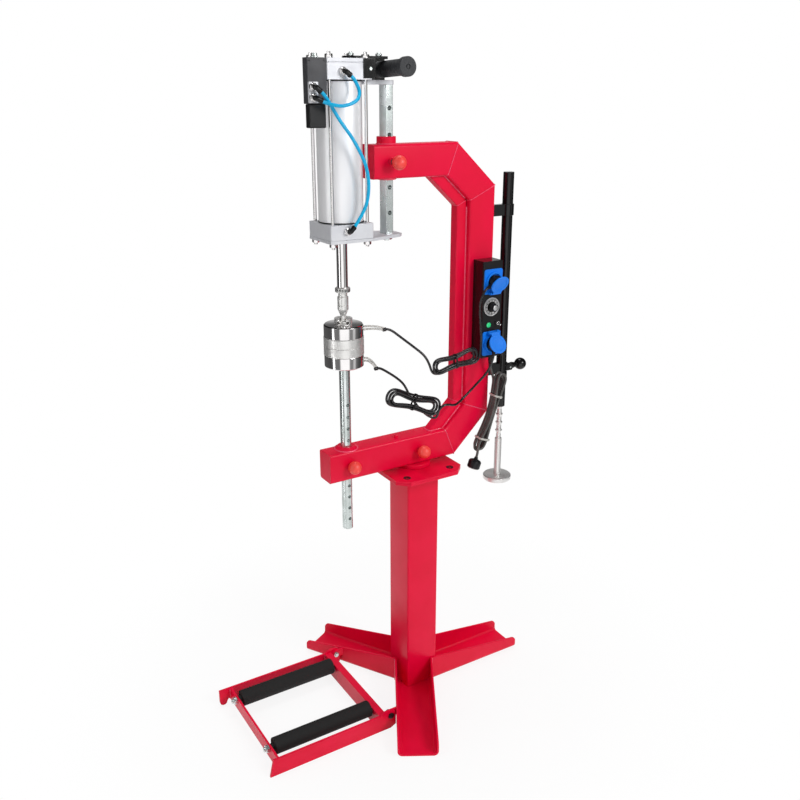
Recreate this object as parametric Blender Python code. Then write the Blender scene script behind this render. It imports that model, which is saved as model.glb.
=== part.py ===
"""Tire vulcanizer: two round heaters squeezed together by an air cylinder on a swivelling C-frame.

The origin is on the floor, on the axis of the column. +Z is up, -X is the way the arms reach, and -Y is
the side of the control box. Every length is in metres.
"""

import math

import bmesh
import bpy
import numpy as np
from mathutils import Matrix, Vector

MM = 0.001

# Shared fits
FIT = 0.3 * MM
OVERRUN = 3 * MM
WELD_BITE = 2 * MM
RUNNING_FIT = 0.4 * MM
TIP_FIT = 1 * MM

# Counts of sides and steps
ROUND_SIDES = 24
SMALL_SIDES = 12
FINE_SIDES = 10
HOLE_SIDES = 8
CORNER_STEPS = 2
BALL_STEPS = 6
LEG_TIP_STEPS = 4

# Base: legs, column and swivel plate
LEG_COUNT = 3
LEG_LENGTH = 350 * MM
LEG_SHEET = 5 * MM
LEG_ROOT_HEIGHT = 80 * MM
LEG_TIP_HEIGHT = 35 * MM
LEG_TIP_RADIUS = 12 * MM
HUB_REACH = 60 * MM
HUB_FIT = 0.8 * MM
COLUMN_WIDTH = 100 * MM
COLUMN_WALL = 4 * MM
COLUMN_TOP_Z = 691.5 * MM
PLATE_WIDTH = 210 * MM
PLATE_CLIP = 30 * MM
PLATE_SHEET = 6 * MM
PLATE_BOLT_X = 69 * MM
PLATE_BOLT_Y = 74 * MM
PLATE_BOLT_RADIUS = 5 * MM
PLATE_BOLT_HEAD_RADIUS = 9 * MM
PLATE_BOLT_SINK = 1 * MM
PLATE_NUT_RADIUS = 9.5 * MM
PLATE_NUT_HEIGHT = 8 * MM
BOLT_TAIL = 3 * MM
KINGPIN_RADIUS = 19 * MM
KINGPIN_HEIGHT = 84 * MM
WASHER_RADIUS = 45 * MM
WASHER_HEIGHT = 11.6 * MM

# C-frame: a bent box tube, its centre line in the plane y = 0
TUBE_DEPTH = 80 * MM
TUBE_WIDTH = 60 * MM
TUBE_WALL = 4 * MM
TUBE_CORNER = 6.5 * MM
THROAT_RISE = 763 * MM
SPINE_X = 188 * MM
LOWER_ARM_END_X = -274 * MM
UPPER_ARM_END_X = -135 * MM
LOWER_BEND_RUN = 89 * MM
LOWER_BEND_RISE = 86 * MM
UPPER_BEND_RUN = 96 * MM
UPPER_BEND_DROP = 87 * MM
STIFFENER_WIDTH = 30 * MM
STIFFENER_CORNER = 4 * MM
SLEEVE_WALL = 5 * MM
SLEEVE_LIP = 3 * MM
LOWER_COLLAR_RADIUS = 30 * MM
LOWER_COLLAR_NECK = 23 * MM
LOWER_COLLAR_HEIGHT = 8 * MM
UPPER_COLLAR_RADIUS = 23.5 * MM
UPPER_COLLAR_HEIGHT = 17 * MM
KINGPIN_SLEEVE_RADIUS = 25 * MM

# Lock pins, drawn out along -Y
PIN_RADIUS = 6 * MM
PIN_CHAMFER = 1 * MM
PIN_BALL_RADIUS = 15.5 * MM
LOWER_BALL_REACH = 17 * MM
SWIVEL_BALL_REACH = 22 * MM
UPPER_BALL_REACH = 31 * MM

# Lower post and the ram line
RAM_X = -211.5 * MM
POST_RADIUS = 14 * MM
POST_DROP = 152 * MM
POST_HOLE_RADIUS = 4.5 * MM
POST_HOLE_PITCH = 32.3 * MM
POST_HOLE_COUNT = 11
POST_TOP_MARGIN = 104 * MM

# Heaters
SEAM_Z = 1071 * MM
HEATER_RADIUS = 50 * MM
HEATER_RING_RADIUS = 50.8 * MM
HEATER_RING_HEIGHT = 23 * MM
HEATER_HEIGHT = 54.7 * MM
HEATER_CHAMFER = 2 * MM
CUP_RADIUS = 22.75 * MM
CUP_HEIGHT = 14.5 * MM
CUP_FLOOR = 2 * MM
CUP_SLOT_HEIGHT = 7 * MM
CUP_FOOT_RADIUS = 14.5 * MM
CUP_NECK_RADIUS = 8 * MM
LEAD_SLEEVE_RADIUS = 2.5 * MM
LEAD_SLEEVE_GAP = 8 * MM
LEAD_SLEEVE_JOIN = 5.4 * MM
LEAD_SLEEVE_Y = -20 * MM
LEAD_SLEEVE_STEPS = 5
LEAD_COLLAR_RADIUS = 5.5 * MM
LEAD_COLLAR_LENGTH = 6 * MM
UPPER_SLEEVE_REACH = 58 * MM
UPPER_SLEEVE_RISE = 41 * MM
UPPER_SLEEVE_FALL = 12 * MM
LOWER_SLEEVE_REACH = 83 * MM
LOWER_SLEEVE_DROP = 41 * MM
LOWER_SLEEVE_FALL = 30 * MM

# Ram
ROD_RADIUS = 13.5 * MM
LOCK_RING_RADIUS = 18.5 * MM
LOCK_RING_HEIGHT = 11.5 * MM
LOCK_NECK_RADIUS = 11 * MM
LOCK_NECK_HEIGHT = 11 * MM
COUPLING_RADIUS = 13.7 * MM
COUPLING_HEIGHT = 32 * MM
COUPLING_TAPER = 16 * MM
COUPLING_TIP_RADIUS = 6.75 * MM
COUPLING_FOOT_RADIUS = 13 * MM
COUPLING_FOOT_HEIGHT = 5 * MM
COUPLING_TOP_Z = 1217.2 * MM
PISTON_HEIGHT = 26 * MM
PISTON_START = 30 * MM
PISTON_NUT_RADIUS = 16 * MM
PISTON_NUT_HEIGHT = 14 * MM

# Cylinder
CYLINDER_FOOT_Z = 1341.3 * MM
CAP_WIDTH = 115 * MM
CAP_CORNER = 3 * MM
BOTTOM_CAP_HEIGHT = 35.7 * MM
TOP_CAP_HEIGHT = 45 * MM
BARREL_RADIUS = 54 * MM
BARREL_WALL = 4 * MM
BARREL_LENGTH = 319.4 * MM
TIE_ROD_OFFSET = 46 * MM
TIE_ROD_RADIUS = 4 * MM
TIE_NUT_RADIUS = 8.5 * MM
TIE_NUT_HEIGHT = 8 * MM
TIE_ROD_TAIL = 5 * MM
HEX_ACROSS = 32 * MM
HEX_X = -84.7 * MM
HEX_HOLE_RADIUS = 5.5 * MM
HEX_HOLE_MARGIN = 52 * MM
HEX_HOLE_COUNT = 5
BRACKET_SHEET = 7.5 * MM
BRACKET_END_X = -30 * MM
BRACKET_END_HALF = 32 * MM
BRACKET_END_CLIP = 14 * MM
BRACKET_NUT_RADIUS = 13 * MM
BRACKET_NUT_HEIGHT = 9 * MM
TOP_BRACKET_SHEET = 10 * MM
TOP_BRACKET_HALF = 17 * MM
TOP_BRACKET_MARGIN = 21 * MM

# Grip beside the top cap
GRIP_RADIUS = 17.5 * MM
GRIP_END_RADIUS = 20 * MM
GRIP_END_LENGTH = 14 * MM
GRIP_NEAR_Y = -98.5 * MM
GRIP_FAR_Y = 35 * MM
GRIP_X = -84 * MM
GRIP_DROP = 20.5 * MM
GRIP_TILT = math.radians(4.5)
GRIP_CORE_RADIUS = 8 * MM
GRIP_CORE_MARGIN = 12 * MM
GRIP_BLOCK_WIDTH = 47 * MM
GRIP_BLOCK_NEAR_Y = -32 * MM
GRIP_FOOT_THICK = 18 * MM
GRIP_FOOT_MARGIN = 18 * MM
GRIP_BAR_SHEET = 6.5 * MM
GRIP_BAR_START_X = -236 * MM
GRIP_BAR_HALF = 14 * MM
GRIP_BOLT_RADIUS = 5.5 * MM
GRIP_BOLT_HEIGHT = 9 * MM
GRIP_BOLT_INSET = 24 * MM

# Valve on the -X side of the cylinder
VALVE_WIDTH = 47 * MM
VALVE_THICK = 24 * MM
VALVE_HEIGHT = 96 * MM
VALVE_FIT = 0.3 * MM
COIL_HEIGHT = 51 * MM
COIL_INSET = 3 * MM
PORT_WIDTH = 18 * MM
PORT_THICK = 7 * MM
PORT_HEIGHT = 44 * MM
PORT_DROP = 50 * MM

# Air elbows and tubes
ELBOW_BOSS_RADIUS = 6.5 * MM
ELBOW_BOSS_HEIGHT = 7 * MM
ELBOW_BODY_RADIUS = 6 * MM
ELBOW_REACH = 15.5 * MM
ELBOW_SOCKET_LENGTH = 17 * MM
AIR_TUBE_RADIUS = 4 * MM
TOP_PORT_DX = -19.2 * MM
TOP_PORT_RISE = 18 * MM
BOTTOM_PORT_DX = -14.2 * MM
BOTTOM_PORT_RISE = 20.5 * MM
VALVE_PORT_INSET = 8 * MM
VALVE_PORT_UPPER_DROP = 60 * MM
VALVE_PORT_LOWER_DROP = 83 * MM

# Roller frame, folded down in front of the column
PIVOT_X = -180 * MM
PIVOT_Z = 42 * MM
FRAME_HALF = 170 * MM
FRAME_SHEET = 6 * MM
FRAME_HEIGHT = 50 * MM
FRAME_LEFT_X = -520 * MM
HOOK_LEFT_X = -552 * MM
HOOK_RADIUS = 11 * MM
HOOK_NOTCH_HEIGHT = 18 * MM
EAR_RADIUS = 16.5 * MM
EAR_DROP = 34 * MM
LEFT_BAR_FOOT_Z = 12 * MM
RIGHT_BAR_X = -214 * MM
RIGHT_BAR_WIDTH = 21 * MM
ROLLER_RADIUS = 22.5 * MM
ROLLER_Z = 42.5 * MM
ROLLER_Y = 113 * MM
ROLLER_HUB_RADIUS = 10 * MM
ROLLER_HUB_LENGTH = 8 * MM
ROLLER_EDGE = 2 * MM
AXLE_RADIUS = 6 * MM
AXLE_TAIL = 6 * MM
AXLE_NUT_RADIUS = 10 * MM
AXLE_NUT_HEIGHT = 9 * MM
LUG_SHEET = 6 * MM
LUG_RADIUS = 11 * MM
LUG_REACH = 26.5 * MM
PIVOT_BOLT_RADIUS = 5 * MM
PIVOT_HEAD_RADIUS = 8 * MM
PIVOT_HEAD_HEIGHT = 5 * MM

# Control box on the -Y side of the spine
BOX_WIDTH = 61 * MM
BOX_LEFT_X = 163 * MM
BOX_DEPTH = 46.7 * MM
BOX_BOTTOM_Z = 995 * MM
BOX_HEIGHT = 260 * MM
BOX_WALL = 2 * MM
PANEL_SHEET = 2 * MM
TIMER_X = 190.5 * MM
TIMER_Z = 1134 * MM
TIMER_BEZEL_RADIUS = 25 * MM
TIMER_BEZEL_HEIGHT = 3 * MM
TIMER_NECK_RADIUS = 19.5 * MM
TIMER_BODY_WIDTH = 44 * MM
TIMER_BODY_DEPTH = 28 * MM
KNOB_RADIUS = 11 * MM
KNOB_FLUTE_DEPTH = 1.2 * MM
KNOB_FLUTES = 12
KNOB_HEIGHT = 16 * MM
LAMP_X = 183 * MM
LAMP_Z = 1085 * MM
LAMP_RADIUS = 7.5 * MM
LAMP_RISE = 4 * MM
LAMP_NECK_RADIUS = 5.5 * MM
LAMP_NECK_LENGTH = 14 * MM
TOGGLE_X = 211 * MM
TOGGLE_Z = 1088 * MM
TOGGLE_BUSH_RADIUS = 6 * MM
TOGGLE_BUSH_BORE = 3.4 * MM
TOGGLE_BUSH_HEIGHT = 7 * MM
TOGGLE_NECK_RADIUS = 1.4 * MM
TOGGLE_TIP_RADIUS = 2.8 * MM
TOGGLE_REACH = 17 * MM
TOGGLE_TILT = math.radians(8)
SOCKET_X = 192.5 * MM
UPPER_SOCKET_Z = 1202 * MM
LOWER_SOCKET_Z = 1035 * MM
SOCKET_WIDTH = 58 * MM
SOCKET_HEIGHT = 66 * MM
SOCKET_SHEET = 4 * MM
SOCKET_CORNER = 6 * MM
SOCKET_RING_RADIUS = 25 * MM
SOCKET_RING_WALL = 4 * MM
SOCKET_RING_HEIGHT = 6 * MM
SOCKET_BODY_RADIUS = 20 * MM
SOCKET_BODY_DEPTH = 16 * MM
HINGE_RISE = 30 * MM
HINGE_REACH = 9 * MM
HINGE_RADIUS = 3 * MM
HINGE_HALF = 12 * MM
EAR_THICK = 4 * MM
FLAP_TILT = math.radians(30)
FLAP_RADIUS = 26 * MM
FLAP_SHEET = 4 * MM
FLAP_OFFSET = 0.8 * MM
FLAP_CENTRE = 32 * MM
PLUG_RADIUS = 17.5 * MM
PLUG_CHAMFER = 3 * MM
PLUG_REACH = 17 * MM
NOZZLE_RADIUS = 5 * MM
NOZZLE_REACH = 31 * MM
NOZZLE_DEPTH = 10.5 * MM
UPPER_NOZZLE_ANGLE = math.radians(205)
LOWER_NOZZLE_ANGLE = math.radians(270)

# Ratchet post behind the spine
RATCHET_X = 293 * MM
RATCHET_TAIL = 115.6 * MM
RATCHET_TOP_Z = 1471 * MM
RATCHET_RADIUS = 14.5 * MM
RATCHET_CAP = 5 * MM
RATCHET_PAD_HEIGHT = 50 * MM
RATCHET_PAD_THICK = 6 * MM
RATCHET_PAD_HALF = 15 * MM
RATCHET_NECK_HEIGHT = 24 * MM
RATCHET_NECK_HALF = 8 * MM
UPPER_PAD_Z = 1373 * MM
LEVER_Z = 929 * MM
LEVER_PIVOT_REACH = 23.5 * MM
LEVER_START_REACH = 18 * MM
LEVER_ROOT_RADIUS = 9 * MM
LEVER_END_RADIUS = 7 * MM
LEVER_BALL_REACH = 72 * MM
LEVER_BALL_RADIUS = 14.5 * MM
LEVER_EAR_THICK = 4 * MM
LEVER_EAR_REACH = 31 * MM
LEVER_EAR_HALF = 9 * MM
LEVER_PIN_RADIUS = 3 * MM
PAWL_REACH = 11.5 * MM
PAWL_HALF = 4 * MM
PAWL_SLOT_HALF = 8 * MM
RATCHET_ROD_RADIUS = 10 * MM
RATCHET_BORE = RATCHET_ROD_RADIUS + RUNNING_FIT
RATCHET_CORE_RADIUS = 7 * MM
TOOTH_PITCH = 25 * MM
TOOTH_LAND = 3 * MM
TOOTH_SLOPE = 7 * MM
TOOTH_COUNT = 12
SHOULDER_Z = 713 * MM
FIRST_TOOTH_Z = 736 * MM
ROD_FOOT_Z = 583 * MM
DISC_RADIUS = 38 * MM
DISC_HEIGHT = 14.5 * MM
DISC_CHAMFER = 2 * MM

# Cords
LEAD_RADIUS = 3.2 * MM
MAINS_RADIUS = 3.6 * MM
MAINS_PLUG_RADIUS = 18 * MM
MAINS_PLUG_LENGTH = 34 * MM
MAINS_PLUG_NECK = 6 * MM
GLAND_RADIUS = 6 * MM
GLAND_LENGTH = 7 * MM
GLAND_X = 210 * MM
GLAND_Y = -55 * MM
ROUTE_STEP = 14 * MM
LOOP_POINTS = 24
HANK_STEP_SHARE = 1.42
HANK_RISE_SHARE = 1.12
WAIST_SHARE = 0.6

# Places that follow from the sizes above
LEG_INNER = COLUMN_WIDTH / 2 + FIT
LEG_OUTER = LEG_INNER + LEG_SHEET
MITRE_SHARE = math.tan(math.pi / LEG_COUNT / 2)
COLUMN_FOOT_Z = LEG_SHEET + FIT
SWIVEL_PLATE_Z = COLUMN_TOP_Z + FIT
SWIVEL_TOP_Z = SWIVEL_PLATE_Z + PLATE_SHEET
WASHER_Z = SWIVEL_TOP_Z + FIT
ARM_UNDER_Z = WASHER_Z + WASHER_HEIGHT + FIT
LOWER_ARM_Z = ARM_UNDER_Z + TUBE_DEPTH / 2
UPPER_ARM_Z = LOWER_ARM_Z + THROAT_RISE
ARM_TOP_Z = LOWER_ARM_Z + TUBE_DEPTH / 2
UPPER_ARM_UNDER_Z = UPPER_ARM_Z - TUBE_DEPTH / 2
UPPER_ARM_TOP_Z = UPPER_ARM_Z + TUBE_DEPTH / 2
TUBE_FACE_Y = -TUBE_WIDTH / 2
FRAME_PATH = (
    (LOWER_ARM_END_X, LOWER_ARM_Z),
    (SPINE_X - LOWER_BEND_RUN, LOWER_ARM_Z),
    (SPINE_X, LOWER_ARM_Z + LOWER_BEND_RISE),
    (SPINE_X, UPPER_ARM_Z - UPPER_BEND_DROP),
    (SPINE_X - UPPER_BEND_RUN, UPPER_ARM_Z),
    (UPPER_ARM_END_X, UPPER_ARM_Z),
)
POST_BORE = POST_RADIUS + RUNNING_FIT
KINGPIN_BORE = KINGPIN_RADIUS + RUNNING_FIT
HEX_BORE = HEX_ACROSS + 2 * RUNNING_FIT
HEATER_FOOT_Z = SEAM_Z - FIT / 2 - HEATER_HEIGHT
UPPER_HEATER_Z = SEAM_Z + FIT / 2
HEATER_TOP_Z = UPPER_HEATER_Z + HEATER_HEIGHT
CUP_FLOOR_Z = HEATER_TOP_Z + CUP_FLOOR
BARREL_Z = CYLINDER_FOOT_Z + BOTTOM_CAP_HEIGHT + FIT
TOP_CAP_Z = BARREL_Z + BARREL_LENGTH + FIT
CAP_TOP_Z = TOP_CAP_Z + TOP_CAP_HEIGHT
HEX_TOP_Z = TOP_CAP_Z - TOP_BRACKET_SHEET
HEX_HOLE_PITCH = (HEX_TOP_Z - UPPER_ARM_Z - HEX_HOLE_MARGIN) / (HEX_HOLE_COUNT // 2)
GRIP_Z = CAP_TOP_Z - GRIP_DROP
CAP_HALF = CAP_WIDTH / 2
BRACKET_TOP_Z = CYLINDER_FOOT_Z - FIT
BRACKET_UNDER_Z = BRACKET_TOP_Z - BRACKET_SHEET
CAP_RIGHT_X = RAM_X + CAP_HALF
CAP_LEFT_X = RAM_X - CAP_HALF
BOX_BACK_Y = TUBE_FACE_Y - FIT
BOX_FRONT_Y = BOX_BACK_Y - BOX_DEPTH + PANEL_SHEET
PANEL_FRONT_Y = BOX_FRONT_Y - FIT - PANEL_SHEET
SOCKET_BACK_Y = PANEL_FRONT_Y - FIT
SOCKET_FACE_Y = SOCKET_BACK_Y - SOCKET_SHEET
HINGE_Y = SOCKET_FACE_Y - HINGE_REACH
PLUG_BACK_Y = SOCKET_FACE_Y - FIT
NOZZLE_Y = PLUG_BACK_Y - NOZZLE_DEPTH
SPINE_BACK_X = SPINE_X + TUBE_DEPTH / 2
RATCHET_FOOT_Z = LEVER_Z - RATCHET_TAIL
LEVER_PIVOT_X = RATCHET_X + LEVER_PIVOT_REACH
AXLE_START_X = FRAME_LEFT_X - AXLE_NUT_HEIGHT - AXLE_TAIL
ROLLER_LEFT_X = FRAME_LEFT_X + FRAME_SHEET + RUNNING_FIT
ROLLER_RIGHT_X = RIGHT_BAR_X - RUNNING_FIT
LUG_Y = FRAME_HALF - FRAME_SHEET - FIT - LUG_SHEET

# Ends of the hanks, left or lower end first
UPPER_HANK_ENDS = ((-9.8 * MM, 996.1 * MM), (152.5 * MM, 1017 * MM))
UPPER_HANK_Y = -84 * MM
UPPER_HANK_HALF_WIDTH = 24 * MM
LOWER_HANK_ENDS = ((-137.9 * MM, 943.5 * MM), (34.7 * MM, 875.6 * MM))
LOWER_HANK_Y = -74 * MM
LOWER_HANK_HALF_WIDTH = 17 * MM
MAINS_HANK_ENDS = ((172.6 * MM, 722 * MM), (248.9 * MM, 932.7 * MM))
MAINS_HANK_Y = -44 * MM
MAINS_HANK_HALF_WIDTH = 9 * MM


def finish(name, colour, roughness, metallic):
    """A painted, plated or moulded surface."""
    material = bpy.data.materials.new(name)
    material.use_nodes = True
    shader = material.node_tree.nodes["Principled BSDF"]
    shader.inputs["Base Color"].default_value = (*colour, 1)
    shader.inputs["Roughness"].default_value = roughness
    shader.inputs["Metallic"].default_value = metallic
    material.diffuse_color = (*colour, 1)
    return material


def place(flat, depth, axis):
    """A point from two flat coordinates and a depth along an axis. Flat is (y, z), (x, z) or (x, y)."""
    first, second = flat
    if axis == "X":
        return (depth, first, second)
    if axis == "Y":
        return (first, depth, second)
    return (first, second, depth)


def loft(loops, caps=True):
    """Skin over loops of equally many points, with flat ends."""
    count = len(loops[0])
    points = [point for loop in loops for point in loop]
    faces = []
    for row in range(len(loops) - 1):
        for i in range(count):
            near = row * count
            far = near + count
            step = (i + 1) % count
            faces.append((near + i, near + step, far + step, far + i))
    if caps:
        faces.append(tuple(range(count)))
        faces.append(tuple(range(len(points) - count, len(points))))
    return points, faces


def prism(outline, low, high, axis):
    """A flat outline pulled along an axis."""
    return loft([[place(flat, depth, axis) for flat in outline] for depth in (low, high)])


def rectangle(low, high):
    """The outline of an upright rectangle."""
    return [(low[0], low[1]), (high[0], low[1]), (high[0], high[1]), (low[0], high[1])]


def block(low, high):
    """A box between two corners."""
    return prism(rectangle(low[:2], high[:2]), low[2], high[2], "Z")


def rounded(outline, radii, steps=CORNER_STEPS):
    """The outline with each corner turned into an arc; a radius of zero keeps the corner."""
    corners = [Vector(point) for point in outline]
    if not isinstance(radii, (list, tuple)):
        radii = [radii] * len(corners)
    result = []
    for i, corner in enumerate(corners):
        if radii[i] == 0:
            result.append(tuple(corner))
            continue
        back = (corners[i - 1] - corner).normalized()
        ahead = (corners[(i + 1) % len(corners)] - corner).normalized()
        half = back.angle(ahead) / 2
        centre = corner + (back + ahead).normalized() * radii[i] / math.sin(half)
        start = corner + back * radii[i] / math.tan(half) - centre
        end = corner + ahead * radii[i] / math.tan(half) - centre
        for k in range(steps + 1):
            share = k / steps
            arm = start.slerp(end, share)
            result.append(tuple(centre + arm.normalized() * radii[i]))
    return result


def circle(centre, radius, sides, start=0.0, end=math.tau):
    """Points of an arc; the whole turn by default."""
    whole = math.isclose(end - start, math.tau)
    count = sides if whole else sides + 1
    angles = [start + (end - start) * i / sides for i in range(count)]
    return [(centre[0] + radius * math.cos(a), centre[1] + radius * math.sin(a)) for a in angles]


def hexagon(centre, across):
    """A hexagon with two of its flats square to the second direction."""
    return circle(centre, across / math.sqrt(3), 6)


def turned(profile, centre, axis, sides=ROUND_SIDES, ring=False):
    """A profile of (radius, place along the axis) turned about the axis through the flat centre."""
    points = []
    rows = []
    for radius, along in profile:
        if radius == 0:
            rows.append([len(points)])
            points.append(place(centre, along, axis))
            continue
        rows.append(list(range(len(points), len(points) + sides)))
        points.extend(place(flat, along, axis) for flat in circle(centre, radius, sides))
    faces = []
    pairs = list(zip(rows, rows[1:]))
    if ring:
        pairs.append((rows[-1], rows[0]))
    for near, far in pairs:
        for i in range(sides):
            step = (i + 1) % sides
            if len(near) == 1:
                faces.append((near[0], far[i], far[step]))
            elif len(far) == 1:
                faces.append((near[i], near[step], far[0]))
            else:
                faces.append((near[i], near[step], far[step], far[i]))
    if not ring:
        for row in (rows[0], rows[-1]):
            if len(row) > 1:
                faces.append(tuple(row))
    return points, faces


def ball_profile(centre, radius, start, end, steps=BALL_STEPS):
    """Profile points of a ball between two angles from the low end of its axis."""
    profile = []
    for i in range(steps + 1):
        angle = start + (end - start) * i / steps
        reach = radius * math.sin(angle)
        profile.append((0 if i in (0, steps) and reach < FIT else reach, centre - radius * math.cos(angle)))
    return profile


def rotated(shape, angle, axis, centre):
    """The shape turned about an axis through a point."""
    points, faces = shape
    turn = Matrix.Rotation(angle, 3, axis)
    centre = Vector(centre)
    return [tuple(turn @ (Vector(point) - centre) + centre) for point in points], faces


def mirrored(shape, axis_index, plane):
    """The shape mirrored in a plane square to an axis."""
    points, faces = shape
    moved = []
    for point in points:
        point = list(point)
        point[axis_index] = 2 * plane - point[axis_index]
        moved.append(tuple(point))
    return moved, faces


def make(name, material, *shapes):
    """An object from closed shapes that don't touch each other."""
    points = []
    faces = []
    for shape_points, shape_faces in shapes:
        start = len(points)
        points.extend(shape_points)
        faces.extend(tuple(start + i for i in face) for face in shape_faces)
    mesh = bpy.data.meshes.new(name)
    mesh.from_pydata(points, [], faces)
    work = bmesh.new()
    work.from_mesh(mesh)
    bmesh.ops.recalc_face_normals(work, faces=work.faces)
    work.to_mesh(mesh)
    work.free()
    mesh.shade_smooth()
    mesh.set_sharp_from_angle(angle=math.radians(35))
    mesh.materials.append(material)
    piece = bpy.data.objects.new(name, mesh)
    bpy.context.scene.collection.objects.link(piece)
    return piece


def combine(piece, operation, shapes):
    """A Boolean of the piece with shapes that don't touch each other."""
    count = len(piece.modifiers)
    tool = make(f"{piece.name}_tool_{count}", piece.data.materials[0], *shapes)
    tool.hide_render = True
    tool.display_type = "WIRE"
    modifier = piece.modifiers.new(f"{operation.lower()}_{count}", "BOOLEAN")
    modifier.operation = operation
    modifier.object = tool


def fuse(piece, *shapes):
    combine(piece, "UNION", shapes)


def cut(piece, *shapes):
    combine(piece, "DIFFERENCE", shapes)


def attach(joint, pieces):
    """Hang pieces on a joint's empty, with their origins on it."""
    for piece in pieces:
        piece.data.transform(Matrix.Translation(-joint.location))
        piece.parent = joint


def joint_point(name, location):
    """An empty that marks a joint's axis."""
    empty = bpy.data.objects.new(name, None)
    empty.location = location
    bpy.context.scene.collection.objects.link(empty)
    return empty


def cord(name, material, points, radius, resolution):
    """A round cord through the points, with flat ends."""
    data = bpy.data.curves.new(name, "CURVE")
    data.dimensions = "3D"
    data.bevel_depth = radius
    data.bevel_resolution = resolution
    data.use_fill_caps = True
    spline = data.splines.new("POLY")
    spline.points.add(len(points) - 1)
    for target, point in zip(spline.points, points):
        target.co = (*point, 1)
    data.materials.append(material)
    piece = bpy.data.objects.new(name, data)
    bpy.context.scene.collection.objects.link(piece)
    return piece


def smooth_route(points, step):
    """Points a step apart along a smooth curve through the given ones."""
    knots = np.array(points, float)
    spans = np.linalg.norm(np.diff(knots, axis=0), axis=1)
    tangents = np.gradient(knots, axis=0)
    for i in range(1, len(knots) - 1):
        tangents[i] = (knots[i + 1] - knots[i - 1]) / (spans[i - 1] + spans[i])
    tangents[0] = (knots[1] - knots[0]) / spans[0]
    tangents[-1] = (knots[-1] - knots[-2]) / spans[-1]
    route = []
    for i, span in enumerate(spans):
        count = max(1, round(span / step))
        t = (np.arange(count) / count)[:, None]
        a = (2 * t**3 - 3 * t**2 + 1) * knots[i] + (3 * t**2 - 2 * t**3) * knots[i + 1]
        b = (t**3 - 2 * t**2 + t) * span * tangents[i] + (t**3 - t**2) * span * tangents[i + 1]
        route.extend(a + b)
    route.append(knots[-1])
    return [tuple(point) for point in route]


def hank_points(ends, y, half_width, cord_radius, layer_turns, first, last):
    """Points of loops wound in and out in layers, drawn in at the waist.

    Turn 0 is where the first two layers meet, half way along a run. The loops grow by a step a turn away
    from it, and each layer lies a rise nearer to -Y than the one before.
    """
    left, right = (Vector(end) for end in ends)
    centre = (left + right) / 2
    along = (right - left).normalized()
    across = Vector((-along.y, along.x))
    step = 2 * cord_radius * HANK_STEP_SHARE
    rise = 2 * cord_radius * HANK_RISE_SHARE
    widest = max(abs(first), layer_turns) if layer_turns > 1 else -first
    half_length = (right - left).length / 2 - cord_radius - widest * step
    count = round((last - first) * LOOP_POINTS)
    points = []
    for i in range(count + 1):
        turn = first + (last - first) * i / count
        angle = math.tau * turn + math.pi / 2
        spread = step * abs((turn + layer_turns) % (2 * layer_turns) - layer_turns)
        if turn < -layer_turns:
            spread = step * -turn
        if turn > layer_turns and layer_turns > 1:
            spread = step * turn
        layer = 0.0
        for boundary in range(0, math.ceil(last), layer_turns):
            climb = min(max((turn - boundary + 0.25) / 0.5, 0), 1)
            layer += climb * climb * (3 - 2 * climb)
        sine = math.sin(angle)
        waist = 1 - WAIST_SHARE * sine**6
        flat = centre + along * (half_length + spread) * math.cos(angle)
        flat = flat + across * (half_width * waist + spread) * sine
        points.append((flat.x, y - layer * rise, flat.y))
    return points


def least_gap(points, diameter):
    """The least distance between stretches of a cord that aren't neighbours, less its diameter."""
    knots = np.array(points)
    fine = np.concatenate([knots[:-1] + (knots[1:] - knots[:-1]) * share for share in (0, 0.25, 0.5, 0.75)])
    order = np.concatenate([np.arange(len(knots) - 1) + share for share in (0, 0.25, 0.5, 0.75)])
    lengths = np.concatenate([[0], np.cumsum(np.linalg.norm(np.diff(knots, axis=0), axis=1))])
    along = np.interp(order, np.arange(len(knots)), lengths)
    far = np.abs(along[:, None] - along[None, :]) > 4 * diameter
    distance = np.linalg.norm(fine[:, None] - fine[None, :], axis=2)
    return float(distance[far].min() - diameter)


def frame_normals(path):
    """For each point of a path in the x-z plane, the sideways vector that mitres the tube there."""
    knots = [Vector(point) for point in path]
    sides = []
    for start, end in zip(knots, knots[1:]):
        ahead = (end - start).normalized()
        sides.append(Vector((-ahead.y, ahead.x)))
    mitres = [sides[0]]
    for before, after in zip(sides, sides[1:]):
        mitres.append((before + after) / (1 + before.dot(after)))
    mitres.append(sides[-1])
    return mitres


def box_tube(path, depth, width, corner, flat_ends=False):
    """A rectangular tube's outside along a path in the x-z plane, mitred at each bend."""
    mitres = frame_normals(path)
    if flat_ends:
        mitres[0] = Vector((1 / mitres[0].x, 0))
        mitres[-1] = Vector((1 / mitres[-1].x, 0))
    section = rounded(rectangle((-depth / 2, -width / 2), (depth / 2, width / 2)), corner)
    loops = []
    for (x, z), mitre in zip(path, mitres):
        loops.append([(x + mitre.x * offset, y, z + mitre.y * offset) for offset, y in section])
    return loft(loops)


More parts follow.
